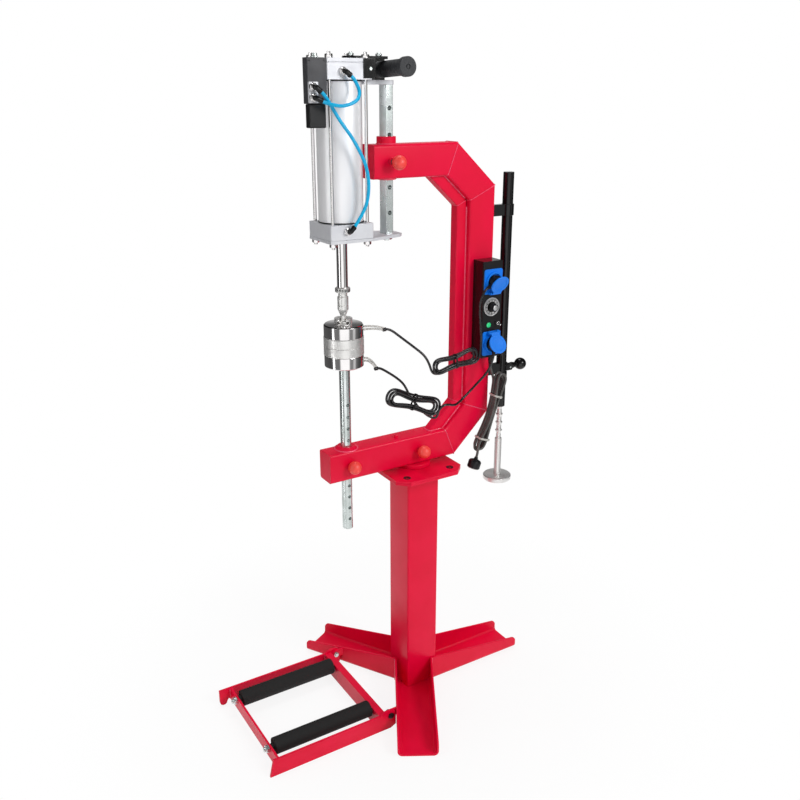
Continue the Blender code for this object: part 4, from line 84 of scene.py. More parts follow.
# Lines that the pieces are built on
RAM_X = -0.2115
HEX_X = -0.0847
ARM_Z = 0.750
UPPER_ARM_Z = 1.513
RATCHET_X = 0.293
LEVER_Z = 0.929
FRAME_PATH = np.array([(-0.274, ARM_Z), (0.099, ARM_Z), (0.188, 0.836), (0.188, 1.426), (0.092, UPPER_ARM_Z),
                       (-0.135, UPPER_ARM_Z)])
TUBE_DEPTH = 80 * MM
TUBE_WIDTH = 60 * MM
STIFFENER_WIDTH = 30 * MM
STIFFENER_OFFSET = 55.3 * MM
CAP_HALF = 57.5 * MM
AXLE_LEFT = -0.520
PIVOT = (-0.18, 0.042)
CORNERS = [(sx, sy) for sx in (-1, 1) for sy in (-1, 1)]
SOCKET_X = 0.1925
PANEL_Y = -0.0773
PANEL_LOW = 0.995
FRAME_FACE_Y = -0.0303
UPPER_CLAMP_Z = 1.373
PIN_BALL = 17.4

# Cord routes
LEAD_RADIUS = 3.2 * MM
MAINS_RADIUS = 3.6 * MM
LOOP_POINTS = 48
LOOP_STEP = 1.35
LAYER_RISE = 1.06
LAYERED_SQUEEZE = 0.2
SINGLE_SQUEEZE = 0.95
HANK_STEP = 3 * MM
HANK_EASING = 10
LEAD_EASING = 4
ROUTE_STEP = 5 * MM
NOZZLE_Y = PANEL_Y - 14.8 * MM - FIT
NOZZLE_REACH = 31 * MM
SOCKETS = {"upper": (1.202, math.radians(205), -1), "lower": (1.035, math.radians(270), 1)}
HANKS = {
    "upper": (((-0.0098, 0.9961), (0.1525, 1.0170)), -0.084, 0.024, LEAD_RADIUS, 2, -1.75, 1.75, 0.75, 0.2),
    "lower": (((-0.1379, 0.9435), (0.0347, 0.8756)), -0.074, 0.023, LEAD_RADIUS, 2, -2.25, 1.75, 0.78, 0.22),
    "mains": (((0.1726, 0.7220), (0.2489, 0.9327)), -0.044, 0.021, MAINS_RADIUS, 1, -0.13, 3.13, 0.8, 0.3, -0.007),
}
LEADS = {
    "upper": [(-0.0997, -0.02, 1.1), (-0.0933, -0.02, 1.1), (-0.0850, -0.0240, 1.0950), (-0.0600, -0.0420, 1.0720),
              (-0.0371, -0.0620, 1.0500), (-0.0180, -0.0760, 1.0300)],
    "lower": [(-0.1252, -0.02, 1.0), (-0.1188, -0.02, 1.0), (-0.0545, -0.0260, 0.9500), (-0.0370, -0.0400, 0.9100),
              (-0.0130, -0.0520, 0.8750), (0.0080, -0.0600, 0.8540), (0.0250, -0.0680, 0.8480)],
}
TAILS = {
    "upper": [(0.1500, -0.0920, 1.0500), (0.1480, -0.0900, 1.0900), (0.1440, -0.0900, 1.1300),
              (0.1450, -0.0915, 1.1600)],
    "lower": [(0.0400, -0.0840, 0.8880), (0.0600, -0.0820, 0.8840), (0.0850, -0.0740, 0.8770),
              (0.1200, -0.0640, 0.8900), (0.1600, -0.0640, 0.9200), (0.1850, -0.0780, 0.9550)],
}
MAINS_EXIT = np.array((0.21, -0.055, PANEL_LOW - 7 * MM - FIT))
MAINS_LEAD = (0.2130, -0.0530, 0.9600)
MAINS_PLUG_TOP = np.array((0.1600, -0.0740, 0.7080))
MAINS_PLUG_TURN = math.radians(20)
LONG_TUBE = [(-0.2700, -0.0740, 1.6440), (-0.2480, -0.0760, 1.6100), (-0.2200, -0.0840, 1.5690),
             (-0.1920, -0.0880, 1.5140), (-0.1830, -0.0860, 1.4690), (-0.1880, -0.0820, 1.4240)]
SHORT_TUBE = [(-0.2730, -0.0930, 1.6445), (-0.2560, -0.0990, 1.6420), (-0.2350, -0.1010, 1.6460),
              (-0.2150, -0.0980, 1.6560), (-0.2040, -0.0850, 1.6740)]

# Each finish: its name, its two colours, their amount and its other settings
FINISHES = {
    "paint": ("crimson_paint", None, None, 0.6,
              dict(roughness=0.28, spread=0.08, patches=9, grain=700, bump=0.06, specular=0.22)),
    # The weld beads: crimson paint patched with a light pink, which is painted highlight along the beads
    "weld": ("weld_paint_with_painted_highlight", (244, 92, 126), (230, 26, 70), 0.7,
             dict(roughness=0.2, spread=0.12, patches=140, grain=420, bump=0.5, specular=0.6)),
    "zinc": ("zinc_plate", (222, 228, 228), (188, 198, 194), 0.8,
             dict(metallic=0.9, roughness=0.2, spread=0.14, patches=26, grain=1200, bump=0.03)),
    "chrome": ("polished_chrome", (232, 230, 230), (216, 214, 214), 0.5,
               dict(metallic=1, roughness=0.07, spread=0.05, patches=18, bump=0.01)),
    "steel": ("turned_steel", (238, 237, 235), (224, 223, 221), 0.5,
              dict(metallic=0.8, roughness=0.24, lines=(5, 5, 1100), bump=0.12, anisotropic=0.3)),
    "machined": ("machined_aluminium", (226, 227, 231), (208, 209, 215), 0.6,
                 dict(metallic=0.42, roughness=0.32, spread=0.12, lines=(30, 30, 1400), bump=0.12)),
    "anodised": ("anodised_barrel", (246, 246, 248), (238, 238, 241), 0.6,
                 dict(metallic=0.35, roughness=0.3, spread=0.08, patches=7, lines=(260, 260, 3), bump=0.05)),
    "enamel": ("black_enamel", (9, 9, 10), (17, 16, 18), 0.6,
               dict(roughness=0.1, spread=0.08, patches=16, grain=800, bump=0.04, specular=0.4)),
    "plastic": ("black_moulding", (13, 13, 15), (24, 24, 27), 0.5,
                dict(roughness=0.3, spread=0.12, grain=1400, bump=0.1, specular=0.35)),
    "rubber": ("cord_rubber", (22, 21, 23), (36, 34, 37), 0.7,
               dict(roughness=0.22, patches=60, grain=1800, bump=0.08)),
    "mains": ("mains_rubber", (74, 72, 70), (96, 93, 90), 0.7,
              dict(roughness=0.3, spread=0.14, patches=60, grain=1800, bump=0.08)),
    "roller": ("roller_skin", (6, 6, 7), (12, 12, 14), 0.6,
               dict(roughness=0.07, spread=0.06, patches=22, grain=400, specular=0.32)),
    "red_ball": ("red_ball_plastic", (246, 68, 60), (240, 58, 50), 0.5, dict(spread=0.05, bump=0.01, specular=0.7)),
    "hose": ("blue_air_hose", (0, 178, 226), (0, 164, 216), 0.6,
             dict(roughness=0.24, patches=30, bump=0.03, specular=0.4)),
    "blue": ("blue_moulding", (0, 124, 236), (0, 112, 222), 0.5,
             dict(spread=0.12, grain=1500, bump=0.08, specular=0.3)),
    "weave": ("woven_sleeve", (226, 224, 220), (120, 116, 112), 0.8,
              dict(roughness=0.55, patches=420, grain=2600, bump=0.5)),
    "silver": ("satin_silver", (214, 214, 214), (196, 196, 198), 0.5,
               dict(metallic=0.8, roughness=0.3, lines=(500, 4, 500), bump=0.05)),
    "tie": ("pale_tie", (206, 204, 198), (180, 178, 172), 0.6, dict(roughness=0.5, patches=200, bump=0.2)),
    "valve": ("valve_housing", (62, 62, 66), (48, 48, 52), 0.6,
              dict(roughness=0.45, spread=0.12, grain=1200, bump=0.12)),
    "grip": ("grip_rubber", (50, 51, 54), (62, 63, 66), 0.6,
             dict(roughness=0.5, spread=0.12, patches=300, grain=2200, bump=0.5)),
    "lens": ("lamp_lens", None, None, 0.6, dict(roughness=0.12, spread=0.06, patches=120, bump=0.05, coat=0.5)),
    "plug_face": ("plug_face", (186, 182, 176), (170, 166, 160), 0.5, dict(roughness=0.45, bump=0.05)),
}
SHADE_SHIFT = {"paint": -12, "lens": 26}


# ---------------------------------------------------------------- surfaces


def placed(first, second, depth, axis):
    """Points from two flat coordinates and a depth: (y, z) for X, (x, z) for Y and (x, y) for Z."""
    first, second, depth = np.broadcast_arrays(first, second, depth)
    return np.stack({"X": (depth, first, second), "Y": (first, depth, second), "Z": (first, second, depth)}[axis], -1)


def linked(name, mesh):
    """A mesh with smooth faces and sharp edges, as an object of the scene."""
    mesh.shade_smooth()
    mesh.set_sharp_from_angle(angle=SHARP_ANGLE)
    piece = bpy.data.objects.new(name, mesh)
    bpy.context.scene.collection.objects.link(piece)
    return piece


def surface(name, grids):
    """A mesh of quads over grids of points: (points, rows close, columns close, ends capped) each."""
    points = []
    faces = []
    start = 0
    for grid, close_rows, close_columns, caps in grids:
        rows, columns = grid.shape[:2]
        index = np.arange(rows * columns).reshape(rows, columns) + start
        full = np.concatenate([index, index[:1]]) if close_rows else index
        full = np.concatenate([full, full[:, :1]], axis=1) if close_columns else full
        quads = np.stack([full[:-1, :-1], full[:-1, 1:], full[1:, 1:], full[1:, :-1]], -1)
        faces += quads.reshape(-1, 4).tolist()
        if caps:
            faces += [index[0, ::-1].tolist(), index[-1].tolist()]
        points.append(grid.reshape(-1, 3))
        start += rows * columns
    mesh = bpy.data.meshes.new(name)
    mesh.from_pydata(np.concatenate(points).tolist(), [], faces)
    work = bmesh.new()
    work.from_mesh(mesh)
    bmesh.ops.remove_doubles(work, verts=work.verts, dist=2e-6)
    bmesh.ops.recalc_face_normals(work, faces=work.faces)
    work.to_mesh(mesh)
    work.free()
    return linked(name, mesh)


def softened(outline, radius, steps=4, closed=True):
    """The polyline with each corner replaced by an arc: centre + radius times a turning unit arm."""
    outline = np.asarray(outline, float)
    result = []
    for i, corner in enumerate(outline):
        if not closed and i in (0, len(outline) - 1):
            result.append(corner[None])
            continue
        back = outline[i - 1] - corner
        ahead = outline[(i + 1) % len(outline)] - corner
        back_length, ahead_length = np.linalg.norm(back), np.linalg.norm(ahead)
        back, ahead = back / back_length, ahead / ahead_length
        half = math.acos(np.clip(back @ ahead, -1, 1)) / 2
        if radius == 0 or half > math.radians(85) or half < math.radians(5):
            result.append(corner[None])
            continue
        reach = min(radius / math.tan(half), 0.45 * min(back_length, ahead_length))
        real = reach * math.tan(half)
        bisector = (back + ahead) / np.linalg.norm(back + ahead)
        centre = corner + bisector * real / math.sin(half)
        start = corner + back * reach - centre
        end = corner + ahead * reach - centre
        share = np.linspace(0, 1, steps + 1)[:, None]
        arm = start * (1 - share) + end * share
        result.append(centre + arm / np.linalg.norm(arm, axis=1, keepdims=True) * real)
    return np.concatenate(result)


def rectangle(low, high):
    return np.array([(low[0], low[1]), (high[0], low[1]), (high[0], high[1]), (low[0], high[1])])


def arc_points(centre, radius, start, end, count):
    """An arc in a plane: centre + radius (cos, sin)."""
    angle = np.linspace(start, end, count)
    return np.stack([centre[0] + radius * np.cos(angle), centre[1] + radius * np.sin(angle)], -1)


def circle(centre, radius, depth, axis, sides=48):
    """Rings round an axis: centre + radius (cos, sin) at a depth, where the radius may vary with the angle."""
    angle = np.arange(sides) * math.tau / sides
    return placed(centre[0] + radius * np.cos(angle), centre[1] + radius * np.sin(angle), depth, axis)


def at(origin, *points, way=1):
    """A profile from pairs of (radius, place) in millimetres, the places counted from an origin."""
    return [(radius * MM, origin + way * place * MM) for radius, place in points]


def sleeve(inner, outer, low, high):
    """The profile of a ring, its radii in millimetres."""
    return rectangle((inner * MM, low), (outer * MM, high))


def dome(radius, height, middle, start, end, count=28):
    """The profile of a ball: (radius sin, middle - height cos)."""
    angle = np.linspace(start, end, count)
    return np.stack([radius * MM * np.sin(angle), middle - height * MM * np.cos(angle)], -1)


def turned_grid(profile, centre, axis, sides=64, edge=0.0, ring=False):
    """A profile of (radius, place along the axis) turned about the axis: centre + radius (cos, sin)."""
    profile = softened(profile, edge * MM, 3, closed=ring) if edge else np.array(profile, float)
    return circle(centre, profile[:, :1], profile[:, 1:], axis, sides), ring, True, not ring


def turned(name, *shape, **options):
    return surface(name, [turned_grid(*shape, **options)])


def prism_grid(outline, low, high, axis):
    """An outline carried straight along an axis."""
    outline = np.asarray(outline, float)
    return placed(outline[:, 0], outline[:, 1], np.array([low, high])[:, None], axis), False, True, True


def prism(name, outline, low, high, axis, bevel=0.0):
    piece = surface(name, [prism_grid(outline, low, high, axis)])
    return bevelled(piece, bevel) if bevel else piece


def block(name, low, high, bevel=0.0):
    return prism(name, rectangle(low[:2], high[:2]), low[2], high[2], "Z", bevel)


def bevelled(piece, width):
    modifier = piece.modifiers.new("edges", "BEVEL")
    modifier.width = width * MM
    modifier.segments = 2
    modifier.limit_method = "ANGLE"
    modifier.angle_limit = math.radians(30)
    modifier.harden_normals = True
    return piece


def drilled(piece, *grids):
    """Holes cut by hidden tools, then made real."""
    tool = surface(f"{piece.name}_tool", list(grids))
    modifier = piece.modifiers.new("holes", "BOOLEAN")
    modifier.operation = "DIFFERENCE"
    modifier.object = tool
    with bpy.context.temp_override(object=piece, active_object=piece, selected_objects=[piece]):
        bpy.context.view_layer.objects.active = piece
        bpy.ops.object.modifier_apply(modifier="holes")
    mesh = tool.data
    bpy.data.objects.remove(tool)
    bpy.data.meshes.remove(mesh)
    piece.data.set_sharp_from_angle(angle=SHARP_ANGLE)
    return piece


def joined(name, pieces):
    """One object from several."""
    work = bmesh.new()
    old = [piece.data for piece in pieces]
    for piece in pieces:
        work.from_mesh(piece.data)
        bpy.data.objects.remove(piece)
    mesh = bpy.data.meshes.new(name)
    work.to_mesh(mesh)
    work.free()
    for part in old:
        bpy.data.meshes.remove(part)
    return linked(name, mesh)


def hex_reach(angle, half):
    """How far a hexagon reaches at an angle: half its width across flats over the cosine from the flat's middle."""
    return half / np.cos((angle + math.pi / 6) % (math.pi / 3) - math.pi / 6)


def nut_grids(centre, axis, low, high, across, chamfer=1.2, sides=48):
    """A hexagon nut: its corners are limited by a cone at each end."""
    limit = across * MM / 2
    chamfer *= MM
    flat = hex_reach(np.arange(sides) * math.tau / sides, limit)
    end, cone = np.full(sides, limit * 0.97), np.minimum(flat, limit * 1.02)
    depth = np.array([low, low + chamfer * 0.2, low + chamfer, high - chamfer, high - chamfer * 0.2, high])
    return circle(centre, np.stack([end, cone, flat, flat, cone, end]), depth[:, None], axis, sides), False, True, True


def tilted(grid, angle, first, second, pivot=(0, 0)):
    """The points turned by an angle about a pivot, in the plane of two of their coordinates."""
    grid = grid.copy()
    a, b = grid[..., first] - pivot[0], grid[..., second] - pivot[1]
    grid[..., first] = pivot[0] + a * math.cos(angle) - b * math.sin(angle)
    grid[..., second] = pivot[1] + a * math.sin(angle) + b * math.cos(angle)
    return grid


def frames_along(path, closed=False):
    """Two unit vectors square to a path at each of its points, carried along without twist."""
    ahead = np.roll(path, -1, 0) - np.roll(path, 1, 0) if closed else np.gradient(path, axis=0)
    ahead /= np.linalg.norm(ahead, axis=1, keepdims=True)
    side = np.cross(ahead[0], (0.0, 0.0, 1.0) if abs(ahead[0, 2]) < 0.9 else (1.0, 0.0, 0.0))
    sides = []
    for way in ahead:
        side = side - way * (side @ way)
        side = side / np.linalg.norm(side)
        sides.append(side)
    sides = np.array(sides)
    return sides, np.cross(ahead, sides)


def tube_grid(path, radius, sides=16, closed=False):
    """A round section carried along a path: point + radius (side cos + up sin)."""
    path = np.asarray(path, float)
    side, up = frames_along(path, closed)
    angle = (np.arange(sides) * math.tau / sides)[None, :, None]
    radius = np.broadcast_to(np.asarray(radius, float), (len(path),))[:, None, None]
    grid = path[:, None] + radius * (side[:, None] * np.cos(angle) + up[:, None] * np.sin(angle))
    return grid, closed, True, not closed


def bead_line(first, second, third, radius, sides=8):
    """A weld bead along a line, from its coordinates."""
    return tube_grid(np.stack(np.broadcast_arrays(first, second, third), -1), radius, sides)


def mitres(path):
    """The unit normals of a flat path's runs, and at its points the normals that its mitred bends take."""
    ways = np.diff(path, axis=0)
    ways /= np.linalg.norm(ways, axis=1, keepdims=True)
    normals = np.stack([-ways[:, 1], ways[:, 0]], -1)
    dots = (normals[:-1] * normals[1:]).sum(1, keepdims=True)
    return normals, np.concatenate([normals[:1], (normals[:-1] + normals[1:]) / (1 + dots), normals[-1:]])


def box_tube_grid(path, depth, width, corner, flat_ends=False):
    """A rounded rectangle carried along a path in the x-z plane, mitred at each bend."""
    turns = mitres(path)[1]
    if flat_ends:
        turns[0] = (1 / turns[0, 0], 0)
        turns[-1] = (1 / turns[-1, 0], 0)
    section = softened(rectangle((-depth / 2, -width / 2), (depth / 2, width / 2)), corner, 6)
    x = path[:, :1] + turns[:, :1] * section[:, 0]
    z = path[:, 1:] + turns[:, 1:] * section[:, 0]
    return placed(x, z, section[:, 1], "Y")


def smooth_route(points, step=ROUTE_STEP):
    """Points a step apart on a smooth curve through the knots: a cubic with each knot's own slope."""
    knots = np.array(points, float)
    spans = np.linalg.norm(np.diff(knots, axis=0), axis=1)
    slopes = np.zeros_like(knots)
    slopes[1:-1] = (knots[2:] - knots[:-2]) / (spans[:-1] + spans[1:])[:, None]
    slopes[0] = (knots[1] - knots[0]) / spans[0]
    slopes[-1] = (knots[-1] - knots[-2]) / spans[-1]
    route = []
    for i, span in enumerate(spans):
        count = max(1, round(span / step))
        t = (np.arange(count) / count)[:, None]
        a = (2 * t**3 - 3 * t**2 + 1) * knots[i] + (3 * t**2 - 2 * t**3) * knots[i + 1]
        b = (t**3 - 2 * t**2 + t) * span * slopes[i] + (t**3 - t**2) * span * slopes[i + 1]
        route.append(a + b)
    return np.concatenate(route + [knots[-1:]])


def eased(path, times):
    """The path with each inner point drawn half way to the middle of its neighbours."""
    path = path.copy()
    for _ in range(times):
        path[1:-1] = path[1:-1] * 0.5 + (path[:-2] + path[2:]) * 0.25
    return path


def runs(path):
    """The way along the path to each of its points."""
    return np.concatenate([[0], np.cumsum(np.linalg.norm(np.diff(path, axis=0), axis=1))])


def even(path, step):
    """The path with its points a step apart along it."""
    run = runs(path)
    places = np.linspace(0, run[-1], max(2, round(run[-1] / step)))
    return np.stack([np.interp(places, run, path[:, i]) for i in range(3)], -1)


def heights(node):
    """The lowest and the highest z of a node of the frame."""
    return [corner.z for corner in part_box(node)]


def dress(piece, finish_key, body, slot, *nodes):
    """Gives a piece its finish, the body that carries it and the frame nodes that it stands for."""
    piece.data.materials.clear()
    piece.data.materials.append(look(finish_key))
    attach(piece, body)
    if nodes:
        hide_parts(*nodes)
    return piece


def lathe(name, profile, centre, axis, sides, edge, *dressing, ring=False):
    """A turned piece with its dressing."""
    return dress(turned(name, profile, centre, axis, sides, edge, ring), *dressing)


def recolour(node, finish_key):
    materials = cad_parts[node].data.materials
    if materials:
        materials[0] = look(finish_key)
    else:
        materials.append(look(finish_key))


# ---------------------------------------------------------------- finishes


def linear(colour):
    """A screen colour of 0 to 255 as the linear values that a shader takes."""
    share = np.array(colour, float) / 255
    return (*np.where(share <= 0.04045, share / 12.92, ((share + 0.055) / 1.055) ** 2.4), 1)


def add_node(tree, kind, inputs, **settings):
    """A node with its settings, each of its inputs set to a value or linked from a socket."""
    node = tree.nodes.new(kind)
    for key, value in settings.items():
        setattr(node, key, value)
    for key, value in inputs.items():
        if isinstance(value, bpy.types.NodeSocket):
            tree.links.new(value, node.inputs[key])
        else:
            node.inputs[key].default_value = value
    return node


def new_group(name, inputs, outputs):
    """A node group, its input sockets by name and its output node."""
    tree = bpy.data.node_groups.new(name, "ShaderNodeTree")
    for label, default in inputs.items():
        kind = "Vector" if label in ("Vector", "Line Scale") else "Color" if "Colour" in label else "Float"
        socket = tree.interface.new_socket(name=label, in_out="INPUT", socket_type=f"NodeSocket{kind}")
        if default is not None:
            socket.default_value = default
    for label in outputs:
        kind = "Color" if label == "Colour" else "Float"
        tree.interface.new_socket(name=label, in_out="OUTPUT", socket_type=f"NodeSocket{kind}")
    return tree, tree.nodes.new("NodeGroupInput").outputs, tree.nodes.new("NodeGroupOutput").inputs


def mottle_group():
    """Two colours and a roughness that wander slowly over a surface, with a fine grain as height."""
    tree, given, result = new_group(
        "mottle",
        {"Vector": None, "Colour": (1, 1, 1, 1), "Second Colour": (1, 1, 1, 1), "Amount": 0.5, "Patch Scale": 20.0,
         "Grain Scale": 900.0, "Roughness": 0.4, "Roughness Spread": 0.1}, ("Colour", "Roughness", "Height"))
    patches = add_node(tree, "ShaderNodeTexNoise",
                       {"Detail": 4, "Vector": given["Vector"], "Scale": given["Patch Scale"]})
    ramp = add_node(tree, "ShaderNodeMapRange",
                    {"From Min": 0.35, "From Max": 0.65, "Value": patches.outputs["Fac"]}).outputs["Result"]
    amount = add_node(tree, "ShaderNodeMath", {0: ramp, 1: given["Amount"]}, operation="MULTIPLY")
    mix = add_node(tree, "ShaderNodeMix",
                   {"Factor": amount.outputs[0], "A": given["Colour"], "B": given["Second Colour"]}, data_type="RGBA")
    spread = add_node(tree, "ShaderNodeMath", {0: ramp, 1: given["Roughness Spread"], 2: given["Roughness"]},
                      operation="MULTIPLY_ADD")
    grain = add_node(tree, "ShaderNodeTexNoise",
                     {"Detail": 2, "Vector": given["Vector"], "Scale": given["Grain Scale"]})
    tree.links.new(mix.outputs["Result"], result["Colour"])
    tree.links.new(spread.outputs[0], result["Roughness"])
    tree.links.new(grain.outputs["Fac"], result["Height"])
    return tree


def brush_group():
    """Fine lines along one direction: noise on coordinates that are stretched by a scale for each axis."""
    tree, given, result = new_group(
        "brush", {"Vector": None, "Line Scale": (4, 4, 900), "Roughness": 0.3, "Roughness Spread": 0.2},
        ("Roughness", "Height"))
    stretch = add_node(tree, "ShaderNodeVectorMath", {0: given["Vector"], 1: given["Line Scale"]},
                       operation="MULTIPLY")
    lines = add_node(tree, "ShaderNodeTexNoise", {"Scale": 1, "Detail": 3, "Vector": stretch.outputs[0]})
    spread = add_node(tree, "ShaderNodeMath",
                      {0: lines.outputs["Fac"], 1: given["Roughness Spread"], 2: given["Roughness"]},
                      operation="MULTIPLY_ADD")
    tree.links.new(spread.outputs[0], result["Roughness"])
    tree.links.new(lines.outputs["Fac"], result["Height"])
    return tree


def finish(name, colour, second, amount, metallic=0.0, roughness=0.4, spread=0.1, patches=20.0, grain=900.0,
           bump=0.02, lines=None, coat=0.0, specular=0.5, anisotropic=0.0):
    """A finish whose colour, roughness and bump come from the mottle group, and its lines from the brush group."""
    material = bpy.data.materials.new(name)
    material.use_nodes = True
    tree = material.node_tree
    shader = tree.nodes["Principled BSDF"]
    place = tree.nodes.new("ShaderNodeTexCoord").outputs["Object"]
    mottle = add_node(tree, "ShaderNodeGroup",
                      {"Vector": place, "Colour": linear(colour), "Second Colour": linear(second), "Amount": amount,
                       "Patch Scale": patches, "Grain Scale": grain, "Roughness": roughness,
                       "Roughness Spread": spread},
                      node_tree=bpy.data.node_groups.get("mottle") or mottle_group())
    source = mottle
    if lines:
        source = add_node(tree, "ShaderNodeGroup",
                          {"Vector": place, "Line Scale": lines, "Roughness Spread": spread * 2,
                           "Roughness": mottle.outputs["Roughness"]},
                          node_tree=bpy.data.node_groups.get("brush") or brush_group())
    relief = add_node(tree, "ShaderNodeBump",
                      {"Strength": bump, "Distance": 0.001, "Height": source.outputs["Height"]})
    tree.links.new(mottle.outputs["Colour"], shader.inputs["Base Color"])
    tree.links.new(source.outputs["Roughness"], shader.inputs["Roughness"])
    tree.links.new(relief.outputs["Normal"], shader.inputs["Normal"])
    shader.inputs["Metallic"].default_value = metallic
    shader.inputs["Coat Weight"].default_value = coat
    shader.inputs["Coat Roughness"].default_value = 0.1
    shader.inputs["Specular IOR Level"].default_value = specular
    shader.inputs["Anisotropic"].default_value = anisotropic
    return material


def look(key):
    """The material of a finish. The paint and the lens take their colours from the user's settings."""
    name, colour, second, amount, settings = FINISHES[key]
    if name in bpy.data.materials:
        return bpy.data.materials[name]
    if key in SHADE_SHIFT:
        colour = [round(share * 255) for share in getattr(bpy.context.scene.vulcanizer_finishes, key)]
        second = [min(max(value + SHADE_SHIFT[key], 0), 255) for value in colour]
    return finish(name, colour, second, amount, **settings)


# ---------------------------------------------------------------- add-on


class VulcanizerFinishes(bpy.types.PropertyGroup):
    """Colours that a user would change."""

    paint: FloatVectorProperty(name="Paint", description="Colour of the frame's paint", subtype="COLOR", size=3,
                               min=0, max=1, default=(229 / 255, 6 / 255, 58 / 255))
    lens: FloatVectorProperty(name="Lamp lens", description="Colour of the indicator lamp's lens", subtype="COLOR",
                              size=3, min=0, max=1, default=(24 / 255, 206 / 255, 122 / 255))
    floor: FloatVectorProperty(name="Floor", description="Colour of the studio floor", subtype="COLOR", size=3,
                               min=0, max=1, default=(0.94, 0.94, 0.94))


class VulcanizerSizes(bpy.types.PropertyGroup):
    """Sizes and lights that a user would change."""

    bead: FloatProperty(name="Weld bead", description="Radius of the weld beads", default=1.8 * MM, min=0.5 * MM,
                        max=4 * MM, subtype="DISTANCE", unit="LENGTH")
    key_power: FloatProperty(name="Key light", description="Power of the key light", default=58, min=0, max=500,
                             subtype="POWER", unit="POWER")
    sky: FloatProperty(name="Sky light", description="Strength of the even light from all round", default=0.58, min=0,
                       max=2, subtype="FACTOR")


